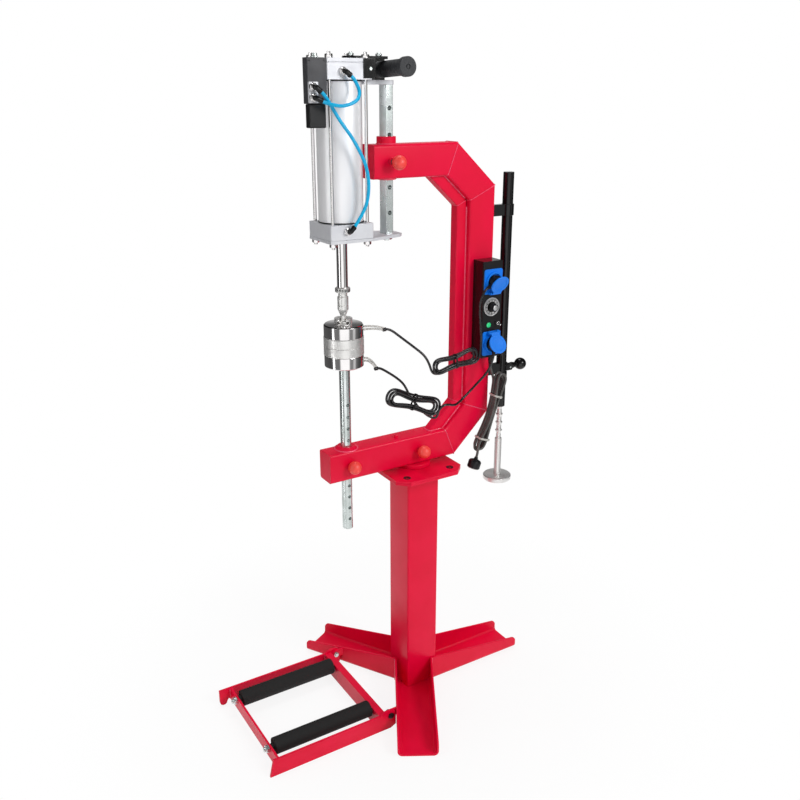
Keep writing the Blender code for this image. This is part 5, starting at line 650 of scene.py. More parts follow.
class VULCANIZER_OT_stage(bpy.types.Operator):
    """Camera, lamps, world and floor"""

    bl_idname = "vulcanizer.stage"
    bl_label = "Stage"

    def execute(self, context):
        scene = context.scene
        scene.view_settings.view_transform = "Standard"
        data = bpy.data.cameras.new("camera")
        data.lens = CAMERA_LENS
        data.sensor_width = SENSOR_WIDTH
        scene.camera = bpy.data.objects.new("camera", data)
        scene.camera.location = CAMERA_PLACE
        scene.camera.rotation_euler = CAMERA_TURN
        scene.collection.objects.link(scene.camera)
        for name, place, size, share in LAMPS:
            data = bpy.data.lights.new(name, "AREA")
            data.size = size
            data.energy = scene.vulcanizer_sizes.key_power * share
            lamp = bpy.data.objects.new(name, data)
            lamp.visible_camera = False
            lamp.location = place
            lamp.rotation_euler = (LAMP_TARGET - Vector(place)).to_track_quat("-Z", "Y").to_euler()
            scene.collection.objects.link(lamp)
        self.world(scene)
        self.floor(scene)
        return {"FINISHED"}

    def world(self, scene):
        """White to the eye; to metal, dark with a few pale bands round the horizon, so that it has edges."""
        scene.world = bpy.data.worlds.new("studio")
        scene.world.use_nodes = True
        tree = scene.world.node_tree
        rays = tree.nodes.new("ShaderNodeLightPath").outputs
        soft = tree.nodes["Background"]
        soft.inputs["Color"].default_value = (1, 1, 1, 1)
        soft.inputs["Strength"].default_value = scene.vulcanizer_sizes.sky
        white = add_node(tree, "ShaderNodeBackground", {"Color": (1, 1, 1, 1), "Strength": 1})
        place = tree.nodes.new("ShaderNodeTexCoord")
        apart = add_node(tree, "ShaderNodeSeparateXYZ", {0: place.outputs["Generated"]}).outputs
        turn = add_node(tree, "ShaderNodeMath", {0: apart["Y"], 1: apart["X"]}, operation="ARCTAN2")
        share = add_node(tree, "ShaderNodeMapRange",
                         {"From Min": -math.pi, "From Max": math.pi, "Value": turn.outputs[0]})
        band = add_node(tree, "ShaderNodeValToRGB", {"Fac": share.outputs["Result"]})
        for position, level in WORLD_BANDS:
            band.color_ramp.elements.new(position).color = (level, level, level, 1)
        for end in (0, -1):
            band.color_ramp.elements[end].color = (1, 1, 1, 1)
        height = add_node(tree, "ShaderNodeMapRange",
                          {"From Min": 0.05, "From Max": 0.3, "To Min": 1, "To Max": 0.12, "Value": apart["Z"]},
                          interpolation_type="SMOOTHSTEP")
        dimmed = add_node(tree, "ShaderNodeVectorMath",
                          {0: band.outputs["Color"], "Scale": height.outputs["Result"]}, operation="SCALE")
        banded = add_node(tree, "ShaderNodeBackground", {"Color": dimmed.outputs[0], "Strength": BAND_STRENGTH})
        mix_gloss = add_node(tree, "ShaderNodeMixShader",
                             {"Fac": rays["Is Glossy Ray"], 1: soft.outputs[0], 2: banded.outputs[0]})
        seen = add_node(tree, "ShaderNodeMath", {0: rays["Is Camera Ray"], 1: rays["Is Transmission Ray"]},
                        operation="MAXIMUM")
        mix_white = add_node(tree, "ShaderNodeMixShader",
                             {"Fac": seen.outputs[0], 1: mix_gloss.outputs[0], 2: white.outputs[0]})
        tree.links.new(mix_white.outputs[0], tree.nodes["World Output"].inputs["Surface"])

    def floor(self, scene):
        """A round floor that keeps the shadow and, to the eye, fades to white at its rim."""
        disc = circle((0, 0), np.array([0.0, FLOOR_RADIUS])[:, None], -0.5 * MM, "Z", 96)
        floor = surface("studio_floor", [(disc, False, True, False)])
        material = bpy.data.materials.new("studio_floor")
        material.use_nodes = True
        tree = material.node_tree
        shader = tree.nodes["Principled BSDF"]
        shader.inputs["Base Color"].default_value = (*scene.vulcanizer_finishes.floor, 1)
        shader.inputs["Roughness"].default_value = 0.7
        place = tree.nodes.new("ShaderNodeTexCoord")
        distance = add_node(tree, "ShaderNodeVectorMath", {0: place.outputs["Object"]}, operation="LENGTH")
        fade = add_node(tree, "ShaderNodeMapRange",
                        {"From Min": 0.4, "From Max": 1.1, "To Min": 0.86, "To Max": 1.0,
                         "Value": distance.outputs["Value"]}, interpolation_type="SMOOTHSTEP")
        rays = tree.nodes.new("ShaderNodeLightPath").outputs
        seen = add_node(tree, "ShaderNodeMath", {0: rays["Is Camera Ray"], 1: rays["Is Glossy Ray"]},
                        operation="MAXIMUM")
        also = add_node(tree, "ShaderNodeMath", {0: seen.outputs[0], 1: rays["Is Transmission Ray"]},
                        operation="MAXIMUM")
        share = add_node(tree, "ShaderNodeMath", {0: also.outputs[0], 1: fade.outputs["Result"]},
                         operation="MULTIPLY")
        glow = tree.nodes.new("ShaderNodeEmission")
        mix = add_node(tree, "ShaderNodeMixShader",
                       {"Fac": share.outputs[0], 1: shader.outputs[0], 2: glow.outputs[0]})
        tree.links.new(mix.outputs[0], tree.nodes["Material Output"].inputs["Surface"])
        floor.data.materials.append(material)


def hank_points(ends, y, half_width, radius, layer_turns, first, last, pinch, roundness, bow=0.0):
    """Loops wound in and out in layers, drawn in at the waist.

    x = (half length + spread) cos t (1 + roundness sin^2 t) and z = half width sin t (1 - pinch |sin t|^3) +
    spread sin t (1 - squeeze |sin t|^3), along the line between the two ends; the spread grows by a step a
    turn, and each layer lies a rise nearer to -Y.
    """
    left, right = np.array(ends[0]), np.array(ends[1])
    centre = (left + right) / 2
    along = (right - left) / np.linalg.norm(right - left)
    across = np.array((-along[1], along[0]))
    step = 2 * radius * LOOP_STEP
    rise = 2 * radius * LAYER_RISE
    layered = layer_turns > 1
    widest = max(abs(first), layer_turns) if layered else -first
    half_length = np.linalg.norm(right - left) / 2 - radius - widest * step
    turn = np.linspace(first, last, round((last - first) * LOOP_POINTS) + 1)
    angle = math.tau * turn + math.pi / 2
    spread = step * np.abs((turn + layer_turns) % (2 * layer_turns) - layer_turns)
    spread = np.where(turn < -layer_turns, step * -turn, spread)
    if layered:
        spread = np.where(turn > layer_turns, step * turn, spread)
    layer = np.zeros_like(turn)
    for boundary in range(0, math.ceil(last), layer_turns):
        climb = np.clip((turn - boundary + 0.25) / 0.5, 0, 1)
        layer += climb * climb * (3 - 2 * climb)
    sine = np.sin(angle)
    inward = np.abs(sine)**3
    reach = (half_length + spread) * np.cos(angle) * (1 + roundness * sine**2)
    squeeze = LAYERED_SQUEEZE if layered else SINGLE_SQUEEZE
    width = (half_width * (1 - pinch * inward) + spread * (1 - squeeze * inward)) * sine
    flat = centre + np.outer(reach, along) + np.outer(width + bow * (1 - (reach / half_length)**2), across)
    return np.stack([flat[:, 0], y - layer * rise, flat[:, 1]], -1)


def nozzle_mouth(side, reach=0.0):
    """Where a plug's nozzle ends, and on its line beyond that."""
    z, angle, _ = SOCKETS[side]
    length = NOZZLE_REACH + FIT + reach
    return (SOCKET_X + length * math.cos(angle), NOZZLE_Y, z + length * math.sin(angle))


def cord_paths():
    """The centre lines of the cords, from the heaters and the box to their plugs."""
    lead, mains = 2 * LEAD_RADIUS, 2 * MAINS_RADIUS
    paths = {}
    for side in ("upper", "lower"):
        loops = hank_points(*HANKS[side])
        tail = smooth_route([loops[-1], *TAILS[side], nozzle_mouth(side, lead), nozzle_mouth(side)])
        way = (loops[1] - loops[0]) / np.linalg.norm(loops[1] - loops[0])
        route = smooth_route([*LEADS[side], loops[0] - way * (FIT + lead), loops[0] - way * FIT])
        paths[f"{side}_lead"] = eased(route, LEAD_EASING)
        paths[f"{side}_hank"] = np.concatenate([loops, tail[1:]])
    loops = hank_points(*HANKS["mains"])
    head = smooth_route([MAINS_EXIT, MAINS_EXIT - (0, 0, mains), MAINS_LEAD, loops[0]])
    ahead = MAINS_PLUG_TOP + mains * np.array((math.sin(MAINS_PLUG_TURN), 0, math.cos(MAINS_PLUG_TURN)))
    tail = smooth_route([loops[-1], ahead, MAINS_PLUG_TOP])
    paths["mains_hank"] = np.concatenate([head[:-1], loops, tail[1:]])
    for name in ("upper_hank", "lower_hank", "mains_hank"):
        paths[name] = eased(even(paths[name], HANK_STEP), HANK_EASING)
    return paths


class VULCANIZER_OT_cords(bpy.types.Operator):
    """Heater leads, their hanks, the mains lead and the ties"""

    bl_idname = "vulcanizer.cords"
    bl_label = "Cords"

    def execute(self, context):
        paths = cord_paths()
        upper = paths["upper_lead"]
        run = runs(upper)
        split = int(np.argmin(np.abs(run[1:] - run[-1] * 0.5))) + 1
        for name, path, bodies, stands_for in (
                ("upper_lead_ram", upper[:split + 1], ("ram", "head"), "upper_lead"),
                ("upper_lead_frame", upper[split:], ("head", "c_frame"), None),
                ("lower_lead_cord", paths["lower_lead"], ("lower_post", "c_frame"), "lower_lead")):
            piece = surface(name, [tube_grid(path, LEAD_RADIUS)])
            piece.data.materials.append(look("rubber"))
            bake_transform(piece)
            if stands_for:
                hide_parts(stands_for)
        boot = self.boot(paths["mains_hank"])
        ties = self.ties(paths)
        for name, plugs, radius, jacket in (
                ("upper_hank", ["plug_upper_fine"], LEAD_RADIUS, "rubber"),
                ("lower_hank", ["plug_lower_fine"], LEAD_RADIUS, "rubber"),
                ("mains_hank", ["mains_plug_shell", "mains_plug_face", boot.name], MAINS_RADIUS, "mains")):
            path = paths[name]
            piece = dress(surface(f"{name}_cord", [tube_grid(path, radius)]), jacket, "c_frame", "rubber", name)
        return {"FINISHED"}

    def boot(self, path):
        """The tapered strain relief where the mains lead leaves the box: rings that narrow along the lead."""
        line = even(path, 1 * MM)[:27]
        share = np.linspace(0, 1, len(line))
        radius = 6.4 * MM - 2.4 * MM * share + 0.35 * MM * np.sin(np.arange(len(line)) * math.pi * 0.5)
        return dress(surface("mains_boot", [tube_grid(line, radius, 32)]), "plastic", "c_frame", "rubber")

    def ties(self, paths):
        """Bands round each bundle where it is drawn in: a rounded loop about the cords that pass there."""
        made = {"upper_hank": [], "lower_hank": [], "mains_hank": []}
        for name, source, place, along, radius, look_key in (
                ("upper_hank_tie", "upper_hank", (0.0714, 1.0066), (0.992, 0.128), LEAD_RADIUS, "rubber"),
                ("lower_hank_tie", "lower_hank", (-0.0516, 0.9096), (0.930, -0.366), LEAD_RADIUS, "rubber"),
                ("mains_hank_tie_upper", "mains_hank", (0.2290, 0.8727), (0.341, 0.940), MAINS_RADIUS, "tie"),
                ("mains_hank_tie_lower", "mains_hank", (0.1860, 0.7549), (0.341, 0.940), MAINS_RADIUS, "tie")):
            path = even(paths[source], 1 * MM)
            along = np.array(along)
            across = np.array((-along[1], along[0]))
            flat = path[:, [0, 2]] - np.array(place)
            near = (np.abs(flat @ along) < 3 * MM) & (np.abs(flat @ across) < 45 * MM)
            offset, depth = (flat @ across)[near], path[near, 1]
            reach = radius + 0.9 * MM
            low = (offset.min() - reach, depth.min() - reach)
            high = (offset.max() + reach, depth.max() + reach)
            loop = softened(rectangle(low, high), radius + reach / 2, 6)
            grids = []
            for shift in (-1.3 * MM, 1.3 * MM):
                centre = np.array(place) + along * shift
                points = placed(centre[0] + across[0] * loop[:, 0], centre[1] + across[1] * loop[:, 0], loop[:, 1],
                                "Y")
                grids.append(tube_grid(points, 1.3 * MM, 8, closed=True))
            start = np.array((place[0], low[1] - 0.6 * MM, place[1]))
            turn = np.linspace(0, 1, 24)[:, None]
            for side in (1, -1):
                away = np.array((across[0] * side * 5 + 2, -3, across[1] * side * 5 - 3)) * MM
                curl = np.array((0.0, -1.0, -1.0)) * MM * np.sin(turn * 3)
                grids.append(tube_grid(start + away * turn + curl, 0.8 * MM, 8))
            made[source].append(dress(surface(name, grids), look_key, "c_frame", "glass_sleeve"))
        return made


class VULCANIZER_OT_c_frame(bpy.types.Operator):
    """C-frame tube, its collars, the inner stiffener and their welds"""

    bl_idname = "vulcanizer.c_frame"
    bl_label = "C-frame"

    def execute(self, context):
        bead = context.scene.vulcanizer_sizes.bead
        grid = box_tube_grid(FRAME_PATH, TUBE_DEPTH, TUBE_WIDTH, 6.5 * MM)
        bore = hex_reach(np.arange(72) * math.tau / 72, 16.4 * MM)
        rows = [circle((HEX_X, 0), radius, z, "Z", 72)
                for radius, z in ((23.5 * MM, 1.470), (23.5 * MM, 1.5695), (22.5 * MM, 1.5705), (bore, 1.5705),
                                  (bore, 1.470))]
        collar = at(0.787, (14.4, 0), (30, 0), (30, 3.3), (23, 11), (14.4, 11))
        tube = surface("c_frame_tube", [
            (grid, False, True, True),
            turned_grid(collar, (RAM_X, 0), "Z", 64, 0.8, ring=True),
            turned_grid(sleeve(14.4, 19.4, 0.7125, 0.707), (RAM_X, 0), "Z", 48, 0.5, ring=True),
            (np.stack(rows), True, True, False),
        ])
        dress(tube, "paint", "c_frame", "red_paint", "c_frame")

        corners = FRAME_PATH[1:-1] + mitres(FRAME_PATH)[1][1:-1] * STIFFENER_OFFSET
        ends = [a + (b - a) * ((z - a[1]) / (b[1] - a[1]))
                for a, b, z in ((corners[0], corners[1], 0.7903), (corners[3], corners[2], 1.4727))]
        stiff_path = np.array([ends[0], corners[1], corners[2], ends[1]])
        stiff_grid = box_tube_grid(stiff_path, STIFFENER_WIDTH, STIFFENER_WIDTH, 4 * MM, flat_ends=True)
        dress(surface("stiffener_tube", [(stiff_grid, False, True, True)]), "paint", "c_frame", "red_paint",
              "inner_stiffener")
        self.welds(bead, grid, stiff_path, stiff_grid)
        lathe("arm_screw", at(0.7975, (0, 0), (4.2, -0.3), (5.2, -2), (5.2, -8)), (-0.0623, -0.0056), "Z", 32, 0.5,
              "paint", "c_frame", "black_paint")
        return {"FINISHED"}

    def welds(self, bead, grid, stiff_path, stiff_grid):
        """Beads round each mitre and collar, and wavering ones along the stiffener, in crimson paint patched with light
        pink as painted highlight.
        """
        rows = [(row, 0.7) for row in grid[1:-1]] + [(row, 0.5) for row in stiff_grid[1:-1]]
        rows += [(row, 1) for row in (stiff_grid[0], stiff_grid[-1])]
        welds = [tube_grid(row, bead * share, 8, closed=True) for row, share in rows]
        outward = -mitres(stiff_path)[0]
        wobble = 0.3 * MM * np.sin(np.arange(90) * 1.7)
        for side in (-1, 1):
            for i in (0, 1, 2):
                start, end = stiff_path[i:i + 2] + outward[i] * 14.4 * MM
                points = start + (end - start) * np.linspace(0.02, 0.98, 90)[:, None]
                welds.append(bead_line(points[:, 0], side * (14.6 * MM + wobble), points[:, 1], bead * 1.35, 10))
        for x, z, radius in ((RAM_X, 0.7902, 30.3), (HEX_X, 1.5532, 23.9), (HEX_X, 1.4728, 23.9)):
            welds.append(tube_grid(circle((x, 0), radius * MM, z, "Z"), bead, 8, closed=True))
        dress(surface("frame_welds", welds), "weld", "c_frame", "red_paint")


def leg_grid(turn, length=0.350, inner=0.0503, sheet=5 * MM, bend=9 * MM, tip=12 * MM):
    """A bent channel carried outwards from the mitre between two legs.

    Each point of the section is (side, base, share): its height is base + share (wall height - base), and
    the wall height falls from 80 mm to 35 mm on a straight line and ends in a quarter round.
    """
    outer = inner + sheet
    wall = bend + sheet
    arc = np.linspace(0, math.pi / 2, 7)
    half = [(outer - wall + wall * math.sin(a), wall - wall * math.cos(a), 0.0) for a in arc]
    half += [(outer, wall, 0.985), (outer - 0.3 * sheet, wall, 1.0), (inner + 0.3 * sheet, wall, 1.0),
             (inner, wall, 0.985)]
    half += [(inner - bend + bend * math.sin(a), wall - bend * math.cos(a), 0.0) for a in arc[::-1]]
    half = np.array(half)
    side, base, share = np.concatenate([half, half[::-1] * (-1, 1, 1)]).T
    straight = length - tip
    way = np.concatenate([np.linspace(0, 1, 12), 1 + np.sin(np.linspace(0, math.pi / 2, 8)[1:]) * tip / straight])
    root = np.abs(side) * math.tan(math.pi / 6)
    reach = np.where(way[:, None] < 1, root + (straight - root) * way[:, None], way[:, None] * straight)
    run = np.clip((reach - outer * math.tan(math.pi / 6)) / straight, 0, 1)
    past = np.clip(reach - straight, 0, tip)
    top = 0.080 - 0.045 * run - (tip - np.sqrt(tip**2 - past**2))
    return placed(reach * math.cos(turn) - side * math.sin(turn), reach * math.sin(turn) + side * math.cos(turn),
                  base + share * (top - base), "Z"), False, True, True


class VULCANIZER_OT_base(bpy.types.Operator):
    """Column, top plate, swivel plate, thrust washer, legs, plate bolts and base welds"""

    bl_idname = "vulcanizer.base"
    bl_label = "Base"

    def execute(self, context):
        bead = context.scene.vulcanizer_sizes.bead
        recolour("swivel_plate", "paint")
        for name, turn, side in (("leg_rear", 0, 0), ("leg_back", THIRD, 1), ("leg_front", THIRD * 2, -1)):
            grids = [leg_grid(turn)]
            if side:
                lug = np.concatenate([arc_points(PIVOT, 11 * MM, math.pi / 2, math.pi * 3 / 2, 17),
                                      [(-0.1535, 0.031), (-0.1535, 0.053)]])
                grids.append(prism_grid(lug, *sorted((side * 0.1577, side * 0.1637)), "Y"))
            dress(surface(f"{name}_fine", grids), "paint", "base", "red_paint", name)
        column = softened(rectangle((-0.05, -0.05), (0.05, 0.05)), 5 * MM, 6)
        dress(prism("column_tube", column, 0.0053, 0.6868, "Z"), "paint", "base", "red_paint", "column")
        half, near = 0.105, 0.075
        outline = [(half, -near), (half, near), (near, half), (-near, half), (-half, near), (-half, -near),
                   (-near, -half), (near, -half)]
        dress(prism("column_plate", outline, 0.6855, 0.6915, "Z", 0.9), "paint", "base", "red_paint")
        lathe("thrust_ring", sleeve(19.6, 45, *heights("thrust_washer")), (0, 0), "Z", 96, 1.0, "paint", "base",
              "steel", "thrust_washer", ring=True)
        for i, (sx, sy) in enumerate(CORNERS):
            lathe(f"plate_bolt_{i + 1}", at(0.6950, (0, 0), (4.2, 0), (4.4, 3.6), (9.4, 3.6), (10.4, 2.6), (10.4, 0.5)),
                  (sx * 0.069, sy * 0.074), "Z", 40, 0.3, "plastic", "base", "zinc")
        ring = softened(rectangle((-0.0505, -0.0505), (0.0505, 0.0505)), 5 * MM, 6)
        welds = [tube_grid(placed(ring[:, 0], ring[:, 1], 0.6852, "Z"), bead, 8, closed=True)]
        wobble = 0.3 * MM * np.sin(np.arange(24) * 2.1)
        for turn in (0, THIRD, THIRD * 2):
            way = np.array((math.cos(turn), math.sin(turn)))
            side = np.array((-way[1], way[0]))
            for sign in (-1, 1):
                root = way * 0.0318 + side * sign * 0.0553
                welds.append(bead_line(root[0] + wobble, root[1], np.linspace(0.004, 0.078, 24), bead))
        # The base welds take the weld paint, its light pink patches painted highlight
        dress(surface("base_welds", welds), "weld", "base", "red_paint")
        for name, side, key in (("pivot_bolt_front", -1, "plastic"), ("pivot_bolt_back", 1, "zinc")):
            nuts = [sorted((side * 0.1703, side * 0.1753)), sorted((side * 0.1574, side * 0.1524))]
            shank = turned_grid([(5 * MM, side * 0.1495), (5 * MM, side * 0.171)], PIVOT, "Y", 32)
            bolt = surface(f"{name}_fine", [nut_grids(PIVOT, "Y", *ends, 15.5) for ends in nuts] + [shank])
            dress(bolt, key, "base", "zinc", name)
        return {"FINISHED"}


class VULCANIZER_OT_roller_frame(bpy.types.Operator):
    """Roller frame, axles with their nuts, and the two rollers"""

    bl_idname = "vulcanizer.roller_frame"
    bl_label = "Roller frame"

    def execute(self, context):
        recolour("roller_frame", "paint")
        for name, y in (("front", -0.113), ("back", 0.113)):
            centre = (y, 0.0425)
            shaft = at(AXLE_LEFT, (0, -15.3), (5.2, -15.3), (6, -14.4)) + at(-0.2083, (6, 0))
            axle = surface(f"axle_{name}_fine", [
                turned_grid(shaft, centre, "X", 32, 0.2),
                nut_grids(centre, "X", AXLE_LEFT - 9.3 * MM, AXLE_LEFT - FIT, 19.2),
            ])
            dress(axle, "zinc", "roller_frame", "zinc", f"axle_{name}")
            low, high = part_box(f"roller_{name}")
            skin = (at(low.x, (6.6, 0), (9.9, 0), (9.9, 8), (22.4, 8))
                    + at(high.x, (22.4, -4), (9.9, -4), (9.9, 0), (6.6, 0)))
            lathe(f"roller_{name}_fine", skin, centre, "X", 96, 1.4, "roller", f"roller_{name}", "roller_skin",
                  f"roller_{name}", ring=True)
        bead = context.scene.vulcanizer_sizes.bead
        welds = [bead_line(x, side * 0.1638, np.linspace(low, high, 14), bead * 0.7)
                 for side in (-1, 1)
                 for x, low, high in ((-0.5205, 0.014, 0.048), (-0.5135, 0.014, 0.048), (-0.2145, 0.004, 0.048),
                                      (-0.2075, 0.004, 0.042))]
        # The cradle welds take the weld paint, its light pink patches painted highlight
        dress(surface("cradle_welds", welds), "weld", "roller_frame", "red_paint")
        return {"FINISHED"}


class VULCANIZER_OT_lock_pins(bpy.types.Operator):
    """The three lock pins with their balls"""

    bl_idname = "vulcanizer.lock_pins"
    bl_label = "Lock pins"

    def execute(self, context):
        for name, centre, tip, reach in (("lower_lock_pin", (RAM_X, ARM_Z), -0.015, 0.017),
                                         ("swivel_lock_pin", (0, ARM_Z), -0.020, 0.022),
                                         ("upper_lock_pin", (HEX_X, UPPER_ARM_Z), -0.017, 0.031)):
            middle = -0.030 - reach
            ball = dome(PIN_BALL, PIN_BALL, middle, 0, math.pi - math.asin(6 / PIN_BALL))
            lathe(f"{name}_ball", ball, centre, "Y", 48, 0, "red_ball", name, "red_ball", name)
            shaft = at(tip, (0, 0), (5, 0), (6, -1)) + at(middle, (6, 10))
            lathe(f"{name}_shaft", shaft, centre, "Y", 32, 0, "zinc", name, "zinc")
            bush = sleeve(6.6, 11, FRAME_FACE_Y + 0.2 * MM, FRAME_FACE_Y - 2.2 * MM)
            lathe(f"{name}_bush", bush, centre, "Y", 48, 0.6, "paint", "c_frame", "red_paint", ring=True)
        return {"FINISHED"}


def heater(name, body, face, back):
    """A heater's brushed ring and its polished back."""
    way = 1 if back > face else -1
    band = at(face, (0, 0), (50.2, 0), (50.8, 0.6), (50.8, 22.5), (50.2, 23), (0, 23), way=way)
    lathe(f"{name}_heater_ring", band, (RAM_X, 0), "Z", 128, 0.3, "steel", body, "chrome", f"{name}_heater")
    shell = (at(face, (0, 23.2), (49.6, 23.2), (50, 24.2), way=way)
             + at(back, (50, -2.5), (47.5, 0), (0, 0), way=way))
    lathe(f"{name}_heater_shell", shell, (RAM_X, 0), "Z", 128, 1.2, "chrome", body, "chrome")


def lead_sleeves(name, body, z, fall, reach):
    """Two woven sleeves from a heater's side to the cord's collar: z falls with the square of the way along."""
    start = RAM_X + math.sqrt(0.05**2 - 0.0175**2) + FIT
    end = RAM_X + 0.05 + reach
    share = np.linspace(0, 1, 26)
    gap = 8 * MM - 2.6 * MM * share
    radius = 2.5 * MM + 0.1 * MM * np.sin(np.arange(26) * 2.0)
    grids = [bead_line(start + (end - start) * share, -0.020, z + side * gap / 2 - fall * share**2, radius, 16)
             for side in (1, -1)]
    dress(surface(f"{name}_lead_weave", grids), "weave", body, "glass_sleeve", f"{name}_lead_sleeves")
    collar = at(end, (0, -6), (4.6, -6), (5.5, -5), (5.2, 2.4), (4.4, 3), (0, 3))
    lathe(f"{name}_lead_collar", collar, (-0.020, z - fall), "X", 40, 0.4, "rubber", body, "rubber")


class VULCANIZER_OT_lower_post(bpy.types.Operator):
    """Drilled post, lower heater and its sleeves"""

    bl_idname = "vulcanizer.lower_post"
    bl_label = "Lower post"

    def execute(self, context):
        low, high = heights("lower_post")
        profile = at(low, (0, 0), (13, 0), (14, 1)) + at(high, (14, 0), (0, 0))
        post = turned("lower_post_fine", profile, (RAM_X, 0), "Z", 64)
        holes = [turned_grid(at(0, (4.5, -20), (4.5, 20)), (RAM_X, high - 0.104 - i * 0.0323), "Y", 28)
                 for i in range(11)]
        dress(drilled(post, *holes), "zinc", "lower_post", "zinc", "lower_post")
        heater("lower", "lower_post", 1.07085, 1.01615)
        lead_sleeves("lower", "lower_post", 1.030, 0.030, 33 * MM)
        return {"FINISHED"}


class VULCANIZER_OT_ram(bpy.types.Operator):
    """Piston rod, coupling, cup and upper heater"""

    bl_idname = "vulcanizer.ram"
    bl_label = "Ram"

    def execute(self, context):
        centre = (RAM_X, 0)
        rod = (at(heights("piston_rod")[0], (0, 0), (13.5, 0))
               + at(1.4074, (13.5, 0), (49.4, 0), (49.4, 25.6), (16, 25.8), (16, 39.6), (0, 39.6)))
        lathe("piston_rod_fine", rod, centre, "Z", 96, 0.3, "chrome", "ram", "chrome", "piston_rod")
        low, top = heights("rod_coupling")
        coupling = (at(low, (0, 0), (12.8, 0), (12.8, 5), (6.75, 5))
                    + at(top, (6.75, -70.5), (13.7, -54.5), (13.7, -45.5), (12.9, -44.9), (12.9, -43.1),
                         (13.7, -42.5), (13.7, -23.5), (12.7, -22.5), (11, -22.5), (11, -11.5), (17.4, -11.5),
                         (18.4, -10.5), (18.4, -1), (17.4, 0), (0, 0)))
        lathe("rod_coupling_fine", coupling, centre, "Z", 96, 0.3, "steel", "ram", "steel", "rod_coupling")
        wave = 18.5 * MM + 0.35 * MM * np.cos(np.arange(60) * math.tau / 60 * 30)
        knurl = np.stack([circle(centre, wave, z, "Z", 60) for z in (top - 9.5 * MM, top - 2 * MM)])
        dress(surface("lock_ring_knurl", [(knurl, False, True, True)]), "plastic", "ram", "steel")
        heater("upper", "ram", 1.07115, 1.12585)
        cup = turned("ram_cup", at(1.1256, (0, 0), (22.2, 0), (22.75, 0.8), (22.75, 14), (22, 14.7), (0, 14.7)),
                     centre, "Z", 96, 0.3)
        slot = math.radians(32)
        turn = np.array([(math.cos(slot), -math.sin(slot)), (math.sin(slot), math.cos(slot))])
        for half, slot_low, slot_high in ((14.5 * MM, 1.1279, 1.1349), (8 * MM, 1.1346, 1.1440)):
            outline = np.concatenate([arc_points((0, 0), half, 0, math.pi, 25), [(-half, -0.03), (half, -0.03)]])
            drilled(cup, prism_grid(outline @ turn + centre, slot_low, slot_high, "Z"))
        dress(cup, "steel", "ram", "chrome")
        lead_sleeves("upper", "ram", 1.112, 0.012, 58 * MM)
        return {"FINISHED"}


